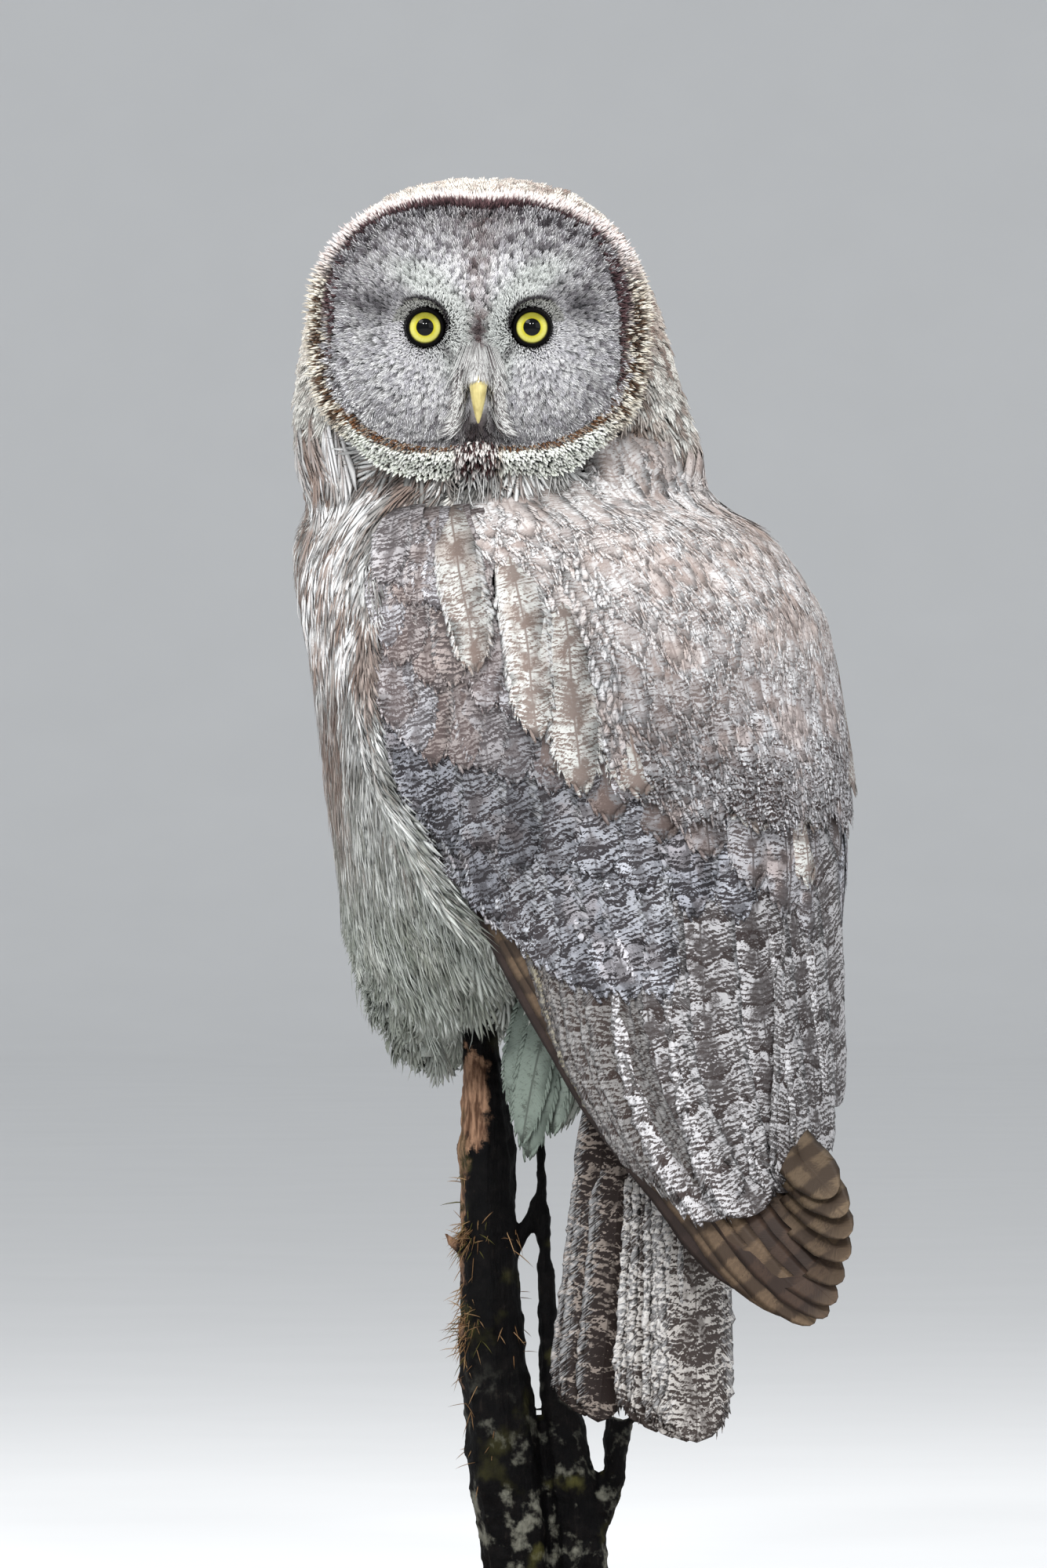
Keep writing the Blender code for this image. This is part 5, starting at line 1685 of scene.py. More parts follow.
TERTIALS = Tier(
    5,
    ((40, 449), (66, 442), (88, 438), (104, 434)),
    ((73, 226), (94, 228), (114, 246), (126, 277)),
    (38, 42, 42, 40), (-3.0, 1.6), Tract.TERTIAL,
)
SECONDARIES = Tier(
    8,
    ((-30, 440), (-14, 440), (4, 440), (22, 445)),
    ((17, 279), (30, 257), (44, 242), (60, 232)),
    (25,), (-6.4, -3.6), Tract.SECONDARY,
)
COVERT_TIERS = (
    Tier(
        8,
        ((-81, 461), (-66, 457), (-46, 453), (-25, 451), (-4, 449), (17, 447)),
        ((-48, 380), (-32, 364), (-13, 346), (4, 335), (22, 331), (44, 331)),
        (31,), (-3.4, -1.8), Tract.COVERT, 2,
    ),
    Tier(
        9,
        ((-89, 492), (-75, 484), (-58, 480), (-38, 478), (-15, 476), (8, 476), (34, 474), (58, 470)),
        ((-75, 420), (-58, 406), (-38, 396), (-17, 391), (4, 388), (25, 386), (54, 372), (82, 366)),
        (31,), (-1.8, -0.6), Tract.COVERT, 3,
    ),
    Tier(
        9,
        ((-92, 530), (-78, 524), (-60, 520), (-38, 516), (-10, 510), (20, 505)),
        ((-87, 461), (-70, 448), (-52, 440), (-31, 434), (-6, 430), (24, 426)),
        (29,), (-0.2, 0.8), Tract.WRIST, 4,
    ),
    Tier(
        9,
        ((-90, 556), (-76, 552), (-58, 548), (-32, 540)),
        ((-89, 497), (-74, 487), (-56, 478), (-32, 468)),
        (22,), (1.4, 2.0), Tract.WRIST, 5,
    ),
    Tier(
        8,
        ((-84, 576), (-70, 574), (-48, 570)),
        ((-88, 528), (-72, 518), (-48, 508)),
        (20,), (2.4, 3.0), Tract.WRIST, 5,
    ),
)
SCAPULAR_TIERS = (
    Tier(
        8,
        ((-50, 540), (-22, 524), (12, 506), (40, 494), (66, 484), (86, 480), (100, 476)),
        ((-32, 470), (-4, 436), (28, 412), (56, 400), (80, 392), (100, 376), (112, 360)),
        (33,), (1.4, 2.4), Tract.SCAPULAR, 4,
    ),
    Tier(
        7,
        ((-60, 572), (-35, 557), (-10, 534), (17, 515), (46, 499), (71, 488), (90, 482)),
        ((-45, 487), (-16, 455), (5, 429), (32, 428), (60, 434), (88, 411), (112, 386)),
        (23, 29, 36, 34, 32), (8.8, 3.0), Tract.LOBE,
    ),
    Tier(
        5,
        ((22, 552), (40, 543), (62, 530), (84, 520)),
        ((28, 484), (48, 470), (70, 458), (94, 448)),
        (28,), (4.4, 4.2), Tract.SCAPULAR, 5,
    ),
)


@dataclass
class Wing:
    """One folded wing, with its scapulars and the mantle above it."""

    side: Side
    ground: Ground
    mantle_rows: int = 37
    row_apart: float = 4.6
    mantle_apart: float = 3.9  # degrees round the wing

    def skin(self) -> None:
        """Models the wing's flesh and down as a thin shell that closes the gaps between feathers."""
        Bench.pick()
        bpy.ops.mesh.primitive_grid_add(x_subdivisions=26, y_subdivisions=44, size=2.0)
        name = self.side.name.lower()
        piece = Bench.fresh(f"wing_skin_{name}")
        at = Bench.points(piece)
        height = 446 + 142 * at[:, 1]
        low = step(-height, -440, -370)
        edge = WingFace.inset(height, 4 + 14 * low)
        angle = 1.5 + (edge - 1.5) * (at[:, 0] + 1) / 2
        level = -7.5 - 12 * step(height, 545, 580) - 4.5 * low
        place, _ = WingFace.place(self.side, angle, height, level)
        piece.data.vertices.foreach_set("co", (place * MM).ravel())
        Bench.apply(piece, "SOLIDIFY", thickness=3 * MM, offset=-1.0 if self.side is Side.LEFT else 1.0)
        Bench.pick(piece)
        Bench.edit()
        bpy.ops.mesh.normals_make_consistent(inside=False)
        Bench.close()
        up = step(Bench.points(piece)[:, 2] / MM, 440, 520)
        Bench.stain(piece.data, "tint", between((112, 103, 100), (190, 182, 178), up))
        piece.data.shade_smooth()
        Bench.settle(piece, DownSkin(f"wing_down_{name}").make(), "flight_feather")

    def tier(self, form: Template, tier: Tier, rng: np.random.Generator, tilt: float = -0.03) -> Lay:
        """One tier's feathers on this wing's face."""
        roots, tips = tier.line(tier.roots, rng), tier.line(tier.tips, rng)
        out = np.linspace(*tier.out, tier.count) + rng.uniform(-0.3, 0.3, tier.count) * tier.jitter / 4
        keep = np.full(tier.count, True) if self.side is Side.LEFT else (roots[0] > 1) & (tips[0] > -12)
        t = form.shares[None, :]
        angle = roots[0][:, None] + (tips[0] - roots[0])[:, None] * t
        height = roots[1][:, None] + (tips[1] - roots[1])[:, None] * t
        level = np.minimum(out[:, None], self.crest(height)) - 7.0 * (1 - np.minimum(t / 0.3, 1.0))
        middle, face = WingFace.place(self.side, angle, height, level)
        tint, ink, marks = self.colours(tier.tract, middle[:, len(form.shares) // 2], rng.random(tier.count))
        widths = tier.width
        width = np.interp(np.linspace(0, len(widths) - 1, tier.count), range(len(widths)), widths)
        width = width * rng.uniform(0.95, 1.05, tier.count)
        twist = -self.side.value * tilt
        lay = Lay(middle, face, width, 0.5, tint, ink, marks, droop=0.004, ragged=0.05, twist=twist)
        return self.only(lay, keep)

    @staticmethod
    def only(lay: Lay, keep: Array) -> Lay:
        """A lay with some of its feathers."""
        kept = {name: getattr(lay, name)[keep] for name in ("middle", "face", "width")}
        for name in ("tint", "ink", "marks"):
            kept[name] = spread(getattr(lay, name), len(lay.middle))[keep]
        return replace(lay, **kept)

    @staticmethod
    def colours(tract: Tract, place: Array, seed: Array) -> tuple[Array, Array, Array]:
        """The light and dark colours and the markings of a tract's feathers."""
        if tract in SHADES:
            return SHADES[tract].at(place, seed)
        if tract is Tract.SECONDARY:
            order = np.minimum(np.arange(len(seed)), len(SECONDARY_LINES) - 1)
            table = np.array([paint(*each) for each in SECONDARY_LIGHTS])[order]
            marks = beside(np.array(SECONDARY_LINES)[order], 1.0, 0.8)
            return blend(table, table * 0.85, seed), between((42, 31, 27), (58, 46, 42), seed), marks
        if tract is Tract.WRIST:
            brown = step(noise(place, 16, 14) + 0.3 * seed, 0.3, 0.8) * (1 - step(place[:, 0], -60, -28))
            # Painted shade where the wrist coverts lie under the lobes
            light = between((210, 209, 214), (176, 164, 160), brown) * (1 - WRIST_PAINTED_SHADE.loss(place))[:, None]
            return light, between((60, 50, 51), (88, 72, 70), seed), np.array((0.85, 0.7, 0.7))
        if tract is Tract.SCAPULAR:
            shade = 1 - step(place[:, 2], 410, 500)
            light = between((162, 158, 159), (170, 169, 173), shade * 0.8 + 0.2 * seed)
            # Painted shade where the scapulars lie deeper
            light = light * (1 - SCAPULAR_PAINTED_SHADE.loss(place))[:, None]
            return light, between((100, 84, 78), (50, 41, 40), shade), beside(0.86 + 0.06 * shade, 0.6, 1.0)
        low = 1 - step(place[:, 2], 430, 530)
        return *mantle_tint(place, seed), beside(0.8 + 0.24 * low, 0.35 + 0.4 * low, 0.7)

    def build(self, rng: np.random.Generator) -> None:
        """Grows all tiers, from the flight feathers to the mantle."""
        name = self.side.name.lower()
        self.skin()
        self.primaries(name, rng)
        form = SECONDARY.model()
        turned = self.side is Side.RIGHT
        finish = Plumage(
            f"secondary_plumage_{name}", pitch=18, dark=0.3, areas=1.3, grain=0.85, barb=0.2, edge_light=0.15,
            side_dark=0.3, roughness=0.65, mirrored=turned,
        ).make()
        whole = self.joined([self.tier(form, SECONDARIES, rng, -0.05), self.tier(form, TERTIALS, rng, -0.02)])
        Bench.settle(grow(f"secondaries_{name}", form, whole, rng, 0), finish, "flight_feather")
        form = COVERT.model()
        finish = Plumage(
            f"covert_plumage_{name}", pitch=13, dark=0.1, areas=2.8, grain=0.88, barb=0.24, edge_light=0.25,
            painted_root_shade=0.3, side_dark=0.3, cloud=0.2, mirrored=turned,
        ).make()
        whole = self.joined([self.tier(form, tier, rng) for tier in COVERT_TIERS])
        Bench.settle(grow(f"coverts_{name}", form, whole, rng, 0.02), finish, "flight_feather")
        finish = Plumage(
            f"scapular_plumage_{name}", pitch=11, dark=-0.15, grain=0.8, barb=0.26, edge_light=0.7,
            painted_root_shade=0.2, side_dark=0.34, side_from=0.3, cloud=0.35, mirrored=turned,
        ).make()
        whole = self.joined([self.tier(form, tier, rng, 0.0) for tier in SCAPULAR_TIERS])
        whole.droop = 0.026
        Bench.settle(grow(f"scapulars_{name}", form, whole, rng, 0.02), finish, "flight_feather")
        self.mantle(name, rng)

    def primaries(self, name: str, rng: np.random.Generator) -> None:
        """Grows the primaries, which follow the leading edge and end in a fan beyond the secondaries."""
        form = PRIMARY.model()
        tips = np.array(
            (
                (92, 187), (108, 178), (116, 174.5), (122, 178), (126, 185), (129, 195), (131.5, 206),
                (132, 217), (130, 227), (125, 236),
            ),
            float,
        )
        if self.side is Side.RIGHT:
            tips -= (14, 0)
        count = len(tips)
        i = np.arange(count, dtype=float)[:, None]
        t = form.shares[None, :]
        height = 405 + (tips[:, 1:] - 405) * t
        bow = np.interp(
            t, (0, 0.26, 0.43, 0.57, 0.68, 0.77, 0.89, 0.97, 1),
            (0, -11, -15.6, -18.7, -18.4, -15, -14.7, -6, 0),
        )
        root = -57 + 3.2 * i
        x = root + (tips[:, :1] - root) * t + (1 - i / (count - 1)) * bow
        angle = WingFace.seen(x, height)
        end = step(t, 0.72, 0.98)
        left = WingFace.flat(angle, height)[..., 1]
        least = 9.0 if self.side is Side.RIGHT else -12.0
        left = np.maximum(left, least + (9.0 - least) * end) - (8.0 - 0.13 * i) + 4.0 * end
        back = x / HALF + left
        normal = WingFace.normal(angle, height)
        turned = 0.8 * end[..., None]
        normal = unit(normal * (1 - turned) + np.array((0.6, 0.8, 0.0)) * turned)
        sign = self.side.value
        middle = world(back, sign * left, height)
        face = world(normal[..., 0], sign * normal[..., 1], normal[..., 2])
        tint, ink, marks = self.colours(Tract.PRIMARY, tips, rng.random(count))
        order = i[:, 0]
        tint = blend(tint, paint(46, 35, 32), 0.8 * (order < 1))
        tint = blend(tint, paint(120, 100, 78), 0.55 * (order > 0) * (order < 3))
        tint = blend(tint, paint(108, 93, 73), 0.55 * step(order, 3.5, 7))
        width = np.minimum(18 + 1.5 * order, 25)
        lay = Lay(middle, face, width, 0.2, tint, ink, marks, droop=0.002, ragged=0.03, twist=sign * 0.02)
        finish = Plumage(
            f"primary_plumage_{name}", pitch=20, band=0.7, sway=0.25, barb=0.18, roughness=0.6, slant=0.1,
            dark=0.1, fringe_light=0.08,
        )
        piece = grow(f"primaries_{name}", form, lay, rng, 0)
        Bench.settle(piece, finish.make(), "flight_feather", f"wing_{name}")

    def mantle(self, name: str, rng: np.random.Generator) -> None:
        """Grows the softer, smaller feathers over shoulders and upper back."""
        form = SOFT_VANE.model()
        roots_a, roots_z = [], []
        first = -7.0 if self.side is Side.LEFT else 1.5
        for row in range(self.mantle_rows):
            angles = np.arange(first + 1.9 * (row % 2), 66, self.mantle_apart)
            roots_a.append(angles + rng.uniform(-1.6, 1.6, len(angles)))
            roots_z.append(626 - self.row_apart * row - 0.05 * angles + rng.uniform(-3, 3, len(angles)))
        angle, root = np.concatenate(roots_a), np.concatenate(roots_z)
        flat = WingFace.flat(angle, root)
        x = (flat[:, 0] - flat[:, 1]) * HALF
        low = np.interp(x, (-60, -35, -10, 4, 17, 46, 71, 90), (574, 556, 540, 500, 462, 440, 430, 424))
        here = rng.random(len(angle)) < step(root - 20 - low, -26, 10)
        shown = world(flat[:, 0], self.side.value * flat[:, 1], root)
        across, up = shown[:, 0] - FACE.x, root - FACE.z
        clear = FACE.share(across, up) > FACE.ring(across, up)[1] - 0.02
        here &= clear & (root < np.interp(shown[:, 0], (-60, 10, 45, 80), (626, 620, 604, 594)))
        sunk = 3.6 * (1 - step(root - 20 - low, -10, 34))[here]
        angle, root = angle[here], root[here]
        length = rng.uniform(0.8, 1.2, len(angle)) * np.interp(root, (470, 560, 620), (46, 38, 28))
        t = form.shares[None, :]
        height = root[:, None] - length[:, None] * t
        turn = angle[:, None] + (rng.uniform(-2.5, 1.0, len(angle)) - 2.0)[:, None] * t
        level = (rng.uniform(-0.3, 0.4, len(angle)) - sunk)[:, None]
        level = level - 5 * (1 - np.minimum(t / 0.4, 1)) + 0.3 * t
        middle, face = WingFace.place(self.side, turn, height, self.crest(height) + level)
        near, out = self.ground.nearest(middle.reshape(-1, 3))
        near, out = near.reshape(middle.shape), out.reshape(middle.shape)
        share = step(height, 548, 594)[..., None]
        middle = middle * (1 - share) + (near + out * (3.0 + level[..., None])) * share
        face = unit(face * (1 - share) + out * share)
        tint, ink, marks = self.colours(Tract.MANTLE, middle[:, 2], rng.random(len(angle)))
        wide = rng.uniform(0.8, 1.2, len(angle)) * np.interp(root, (470, 560, 620), (25, 21, 14))
        lay = Lay(middle, face, wide, 0.3, tint, ink, marks, droop=0.008, ragged=0.06)
        finish = Plumage(
            "mantle_plumage", pitch=8.0, dark=-0.35, grain=0.85, barb=0.3, streak=0.3, painted_root_shade=0.1,
            cloud=0.4, edge_light=0.25,
        )
        Bench.settle(grow(f"mantle_{name}", form, lay, rng), finish.make(), "plumage_pale")

    @staticmethod
    def crest(height: Array) -> Array:
        """How far the mantle's surface lies out of the wing's face, from where it sinks to the neck."""
        return 7.0 - 16.0 * step(height, 556, 598)

    @staticmethod
    def joined(lays: Sequence[Lay]) -> Lay:
        """Several lays as one."""
        whole = {}
        for name in ("middle", "face", "width"):
            whole[name] = np.concatenate([getattr(lay, name) for lay in lays])
        for name in ("tint", "ink", "marks"):
            whole[name] = np.concatenate([spread(getattr(lay, name), len(lay.middle)) for lay in lays])
        return replace(lays[0], **whole)


# ------------------------------------------------------------------ tail


@dataclass
class Tail:
    """The tail's twelve feathers, the coverts round its root and the loose white ones under it."""

    covert_count: int = 74

    def build(self, rng: np.random.Generator) -> None:
        """Grows the tail feathers and the coverts."""
        form = TAIL_FEATHER.model()
        t = form.shares
        table = np.array(
            (
                (50, 52, 132, 28, 0.4), (54, 46, 127, 30, 0.4), (58, 41, 124, 30, 0.4),
                (73, 26, 123, 36, 0.12), (70, -31, 127, 34, -0.5), (76, 19, 119, 38, 0.1),
                (75, -24, 122, 38, -0.4), (80, 12, 116, 40, 0.05), (79, -16, 118, 42, -0.25),
                (82, 4, 114, 44, 0.0), (82, -8, 115, 46, -0.1), (84, -1, 113.5, 50, 0.0),
            )
        )
        middles, faces = [], []
        for order, (tip_back, tip_left, tip_z, _, lean) in enumerate(table):
            root = np.array((68.0 + 0.6 * order, (0.75 if order < 3 else 0.3) * tip_left, 336.0))
            line = root + (np.array((tip_back, tip_left, tip_z)) - root) * t[:, None]
            line[:, 0] += 3.0 * np.sin(math.pi * t)
            middles.append(world(*line.T))
            faces.append(unit(world(1.0, lean, 0.0)))
        seed = rng.random(len(table))
        brown = (np.arange(len(table)) < 3) * 0.75
        light = blend(between((177, 171, 165), (197, 192, 187), seed), paint(108, 92, 80), brown)
        ink = blend(between((40, 31, 28), (54, 43, 39), seed), paint(30, 22, 20), brown)
        marks = beside(np.where(brown > 0, 1.1, 0.97), 0.95, 0.8)
        face = form.steady(np.array(faces))
        lay = Lay(np.array(middles), face, table[:, 3], 0.7, light, ink, marks, droop=0.004, ragged=0.05)
        finish = Plumage(
            "tail_plumage", pitch=19, dark=0.35, areas=3.4, grain=1.15, sway=1.2, barb=0.2, roughness=0.65,
            edge_light=0.3,
        )
        Bench.settle(grow("tail_feathers", form, lay, rng, 0), finish.make(), "flight_feather", "tail")
        self.coverts(rng)

    def coverts(self, rng: np.random.Generator) -> None:
        """Grows the soft white coverts under and over the tail's root, coloured grey-green by painted shade
        and a painted green reflection.
        """
        form = COVERT.model()
        count = self.covert_count
        turn = rng.uniform(-180, 180, count)
        ring = np.radians(turn)
        under = (np.cos(ring) < 0.35).astype(float)
        back = 44 + 24 * np.cos(ring)
        left = 27 * np.sin(ring)
        root_z = 352 + rng.uniform(-6, 8, count)
        length = np.where(under > 0, rng.uniform(45, 88, count), rng.uniform(40, 70, count))
        tip_back = back + np.where(under > 0, -12 + 8 * np.cos(ring), 10)
        t = form.shares[None]
        line_back = back[:, None] + (tip_back - back)[:, None] * t + 3 * np.sin(math.pi * t)
        line_left = left[:, None] * (1 + 0.12 * t)
        line_z = root_z[:, None] - length[:, None] * t
        middle = world(line_back, line_left, line_z)
        normal = unit(world(np.cos(ring), np.sin(ring), 0.15))
        # White feathers given painted shade and a painted green reflection
        light = between((136, 146, 136), (178, 186, 178), rng.random(count))
        lay = Lay(
            middle, form.steady(normal), rng.uniform(15, 22, count), 0.9, light, paint(112, 108, 98),
            np.array((0.0, 0.3, 0.5)), droop=0.01, ragged=0.08,
        )
        finish = Plumage("vent_plumage", pitch=15, dark=-0.8, barb=0.3, streak=0.1, roughness=0.75).make()
        Bench.settle(grow("tail_coverts", form, lay, rng, 0.02), finish, "plumage_pale")
        self.undertail(form, finish, rng)

    @staticmethod
    def undertail(form: Template, finish: bpy.types.Material, rng: np.random.Generator) -> None:
        """Grows the long loose white feathers that hang under the tail on each side, coloured grey-green by
        painted shade and a painted green reflection.
        """
        table = np.array(((16, 24, 356, -2, 39, 274), (22, 24, 354, 9, 41, 252), (28, 22, 352, 20, 35, 264)))
        t = form.shares[None, :, None]
        lines, outs = [], []
        for side in (1, -1):
            for copy in range(2):
                moved = table + rng.normal(0, 0.7, table.shape)
                root = world(moved[:, 0], side * moved[:, 1], moved[:, 2])
                tip = world(moved[:, 3], side * moved[:, 4], moved[:, 5] + 7 * copy)
                out = unit(world(np.full(len(moved), 0.25), side * 0.95, 0.1))
                rise = 5 * np.sin(math.pi * t) + 1.2 * copy
                lines.append(root[:, None] + (tip - root)[:, None] * t + out[:, None] * rise)
                outs.append(form.steady(out))
        middle, face = np.concatenate(lines), np.concatenate(outs)
        # White plumes given painted shade and a painted green reflection
        light = between((102, 113, 104), (150, 162, 152), rng.random(len(middle)))
        lay = Lay(
            middle, face, rng.uniform(19, 25, len(middle)), 0.5, light, paint(58, 60, 54),
            np.array((0.3, 0.0, 0.8)), droop=0.006, ragged=0.02,
        )
        Bench.settle(grow("undertail_plumes", form, lay, rng, 0.02), finish, "plumage_pale")


# ------------------------------------------------------------------ legs and feet


@dataclass
class Legs:
    """Skin and short plumage of legs and toes, with the claws."""

    voxel: float = 1.3
    depth: float = 1.2  # of the skin under the tufts' tips
    tuft_apart: float = 1.9

    def build(self, rng: np.random.Generator) -> None:
        """Dresses both legs and all eight claws."""
        for side in ("left", "right"):
            skin = Bench.copies(f"leg_skin_{side}", f"leg_{side}", f"foot_{side}")
            Bench.melt(skin, self.voxel, 0.5, 3)
            ground = Ground(skin)
            Bench.apply(skin, "DISPLACE", strength=-self.depth * MM, mid_level=0.0)
            Bench.stain(skin.data, "tint", paint(214, 212, 206))
            skin.data.shade_smooth()
            finish = DownSkin(f"leg_down_{side}").make()
            Bench.settle(skin, finish, "plumage_pale", f"leg_{side}", f"foot_{side}")
            roots, normals = ground.scatter(lambda points, out: np.full(len(points), self.tuft_apart), rng)
            form = TUFT.model()
            away = 0.5 * (roots - ground.points.mean(0)) / 20
            way = beside(away[:, 0], away[:, 1], -1)
            length = rng.uniform(3.5, 6.0, len(roots))
            line, out = ground.follow(roots, normals, way, length, (-1.6, 0.0, 0.3), form.shares)
            light = between((204, 200, 192), (236, 234, 228), rng.random(len(roots)))
            lay = Lay(
                line, out, rng.uniform(1.2, 1.9, len(roots)), 0.4, light, paint(130, 118, 110),
                np.array((0, 0, 0.3)), ragged=0,
            )
            finish = Plumage(f"leg_plumage_{side}", streak=0.1, barb=0.25, roughness=0.85).make()
            Bench.settle(grow(f"leg_tufts_{side}", form, lay, rng), finish, "plumage_pale")
        horn = Horn("claw_horn_finish", paint(34, 30, 30), paint(92, 84, 78), 0.28).make()
        for side in ("left", "right"):
            for number in range(1, 5):
                Horn.shape(f"claw_{side}_{number}", horn, "claw_horn")


# ------------------------------------------------------------------ eyes and bill


@dataclass(frozen=True)
class Horn:
    """Polished horn with fine growth lines along it, its deep and light colours mixed by the lines and soft
    clouds.
    """

    name: str
    deep: Array
    light: Array
    roughness: float

    def make(self) -> bpy.types.Material:
        """The material."""
        g = Graph(self.name)
        x, y, z = g.parts(g.place())
        grain = g.noise(g.vector(x * 900, y * 900, z * 120), 1.0, 3.0)
        cloud = g.noise(g.place(), 160.0, 2.0)
        colour = g.mix((grain * 0.5 + cloud * 0.6).soft(0.25, 0.85), self.deep, self.light)
        return g.surface(
            Base_Color=colour, Roughness=grain * 0.2 + self.roughness, Coat_Weight=0.25,
            Normal=g.raise_by(grain, 0.0001, 0.4),
        )

    @staticmethod
    def shape(node: str, finish: bpy.types.Material, slot: str) -> None:
        """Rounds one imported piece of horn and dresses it."""
        piece = Bench.copies(f"{node}_horn", node)
        Bench.apply(piece, "SUBSURF", levels=2, render_levels=2)
        piece.data.shade_smooth()
        Bench.settle(piece, finish, slot, node)


@dataclass
class Eyes:
    """Both eyes, glossy and yellow, in dark lids."""

    iris: float = 7.75
    pupil: float = 4.2
    lid_major: float = 8.5
    lid_minor: float = 0.72

    def build(self) -> None:
        """Models each eyeball with its cornea's bulge, and each lid."""
        for side, name in ((1, "left"), (-1, "right")):
            x, y, z = FACE.x + side * FACE.eye_x, FACE.eye_y, FACE.z + FACE.eye_rise
            Bench.pick()
            bpy.ops.mesh.primitive_uv_sphere_add(
                segments=48, ring_count=32, radius=FACE.eye_radius * MM, location=(x * MM, y * MM, z * MM),
                rotation=(math.pi / 2, 0, 0),
            )
            ball = Bench.fresh(f"eyeball_{name}")
            Bench.edit(whole=False)
            Bench.close()
            for vertex in ball.data.vertices:
                away = math.hypot(vertex.co.x / MM - x, vertex.co.z / MM - z)
                vertex.select = away < 0.3 and vertex.co.y / MM < y
            self.pull((0, -0.8 * MM, 0), 8.5 * MM)
            ball.data.shade_smooth()
            Bench.settle(ball, self.finish(name, x, z), "eye", f"eye_{name}")
            self.lid(name, x, y, z)

    @staticmethod
    def pull(move: tuple[float, float, float], reach: float) -> None:
        """Moves the selected points, and what lies within reach of them less and less."""
        bpy.ops.object.mode_set(mode="EDIT")
        bpy.ops.transform.translate(
            value=move, use_proportional_edit=True, proportional_edit_falloff="SMOOTH",
            proportional_size=reach,
        )
        Bench.close()

    def lid(self, name: str, x: float, y: float, z: float) -> None:
        """Models one lid as a dark rim, fuller and drawn forward above."""
        front = y - math.sqrt(FACE.eye_radius**2 - (self.lid_major - 0.6) ** 2)
        Bench.pick()
        bpy.ops.mesh.primitive_torus_add(
            major_segments=56, minor_segments=14, major_radius=self.lid_major * MM,
            minor_radius=self.lid_minor * MM, location=(x * MM, front * MM, z * MM),
            rotation=(math.pi / 2, 0, 0),
        )
        rim = Bench.fresh(f"eyelid_{name}")
        for vertex in rim.data.vertices:
            vertex.select = vertex.co.z / MM > z + self.lid_major - 0.2
        self.pull((0, -0.9 * MM, -0.35 * MM), 13 * MM)
        rim.data.shade_smooth()
        g = Graph(f"lid_skin_{name}")
        fine = g.noise(g.place(), 700.0, 3.0)
        colour = g.mix(fine, paint(4, 4, 4), paint(16, 14, 15))
        finish = g.surface(
            Base_Color=colour, Roughness=fine * 0.3 + 0.6, Specular_IOR_Level=0.03,
            Normal=g.raise_by(fine, 0.0002),
        )
        Bench.settle(rim, finish, "disc_feather")

    def finish(self, name: str, x: float, z: float) -> bpy.types.Material:
        """Yellow iris with fine rays, a painted shadow of the lid over its top, and a dark rim round a black
        pupil, under a wet gloss.
        """
        g = Graph(f"iris_{name}")
        px, _, pz = g.parts(g.place())
        dx, dz = (px - x * MM) * 1000, (pz - z * MM) * 1000
        far = (dx * dx + dz * dz) ** 0.5
        rays = g.noise(g.vector(dx / far * 7, dz / far * 7, far * 0.35), 1.0, 3.0)
        ring = g.mix(far.soft(self.pupil, self.pupil + 2.2), paint(190, 182, 46), paint(216, 212, 112))
        ring = g.mix((rays - 0.5).soft(-0.12, 0.2) * 0.3, ring, paint(198, 182, 40))
        # Painted shadow of the upper lid: the iris darker towards its top
        ring = g.mix((dz + rays).soft(1.0, 6.4) * 0.85, ring, paint(108, 104, 18))
        ring = g.mix(far.soft(self.iris - 0.8, self.iris + 0.1), ring, paint(58, 52, 10))
        colour = g.mix(far.soft(self.pupil + 0.22, self.pupil - 0.12), ring, paint(3, 4, 6))
        colour = g.mix(far.soft(self.iris, self.iris + 0.4), colour, paint(12, 10, 11))
        return g.surface(
            Base_Color=colour, Roughness=0.5, Specular_IOR_Level=0.0, Coat_Weight=1.0, Coat_Roughness=0.04,
            Coat_IOR=1.27,
        )


@dataclass
class Bill:
    """Both halves of the bill, smoothed, in pale yellow horn."""

    def build(self) -> None:
        """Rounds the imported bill's halves and dresses them."""
        horn = Horn("bill_horn_finish", paint(150, 134, 74), paint(220, 206, 140), 0.3).make()
        for half in ("upper", "lower"):
            Horn.shape(f"bill_{half}", horn, "bill_horn")


# ------------------------------------------------------------------ branch and stand


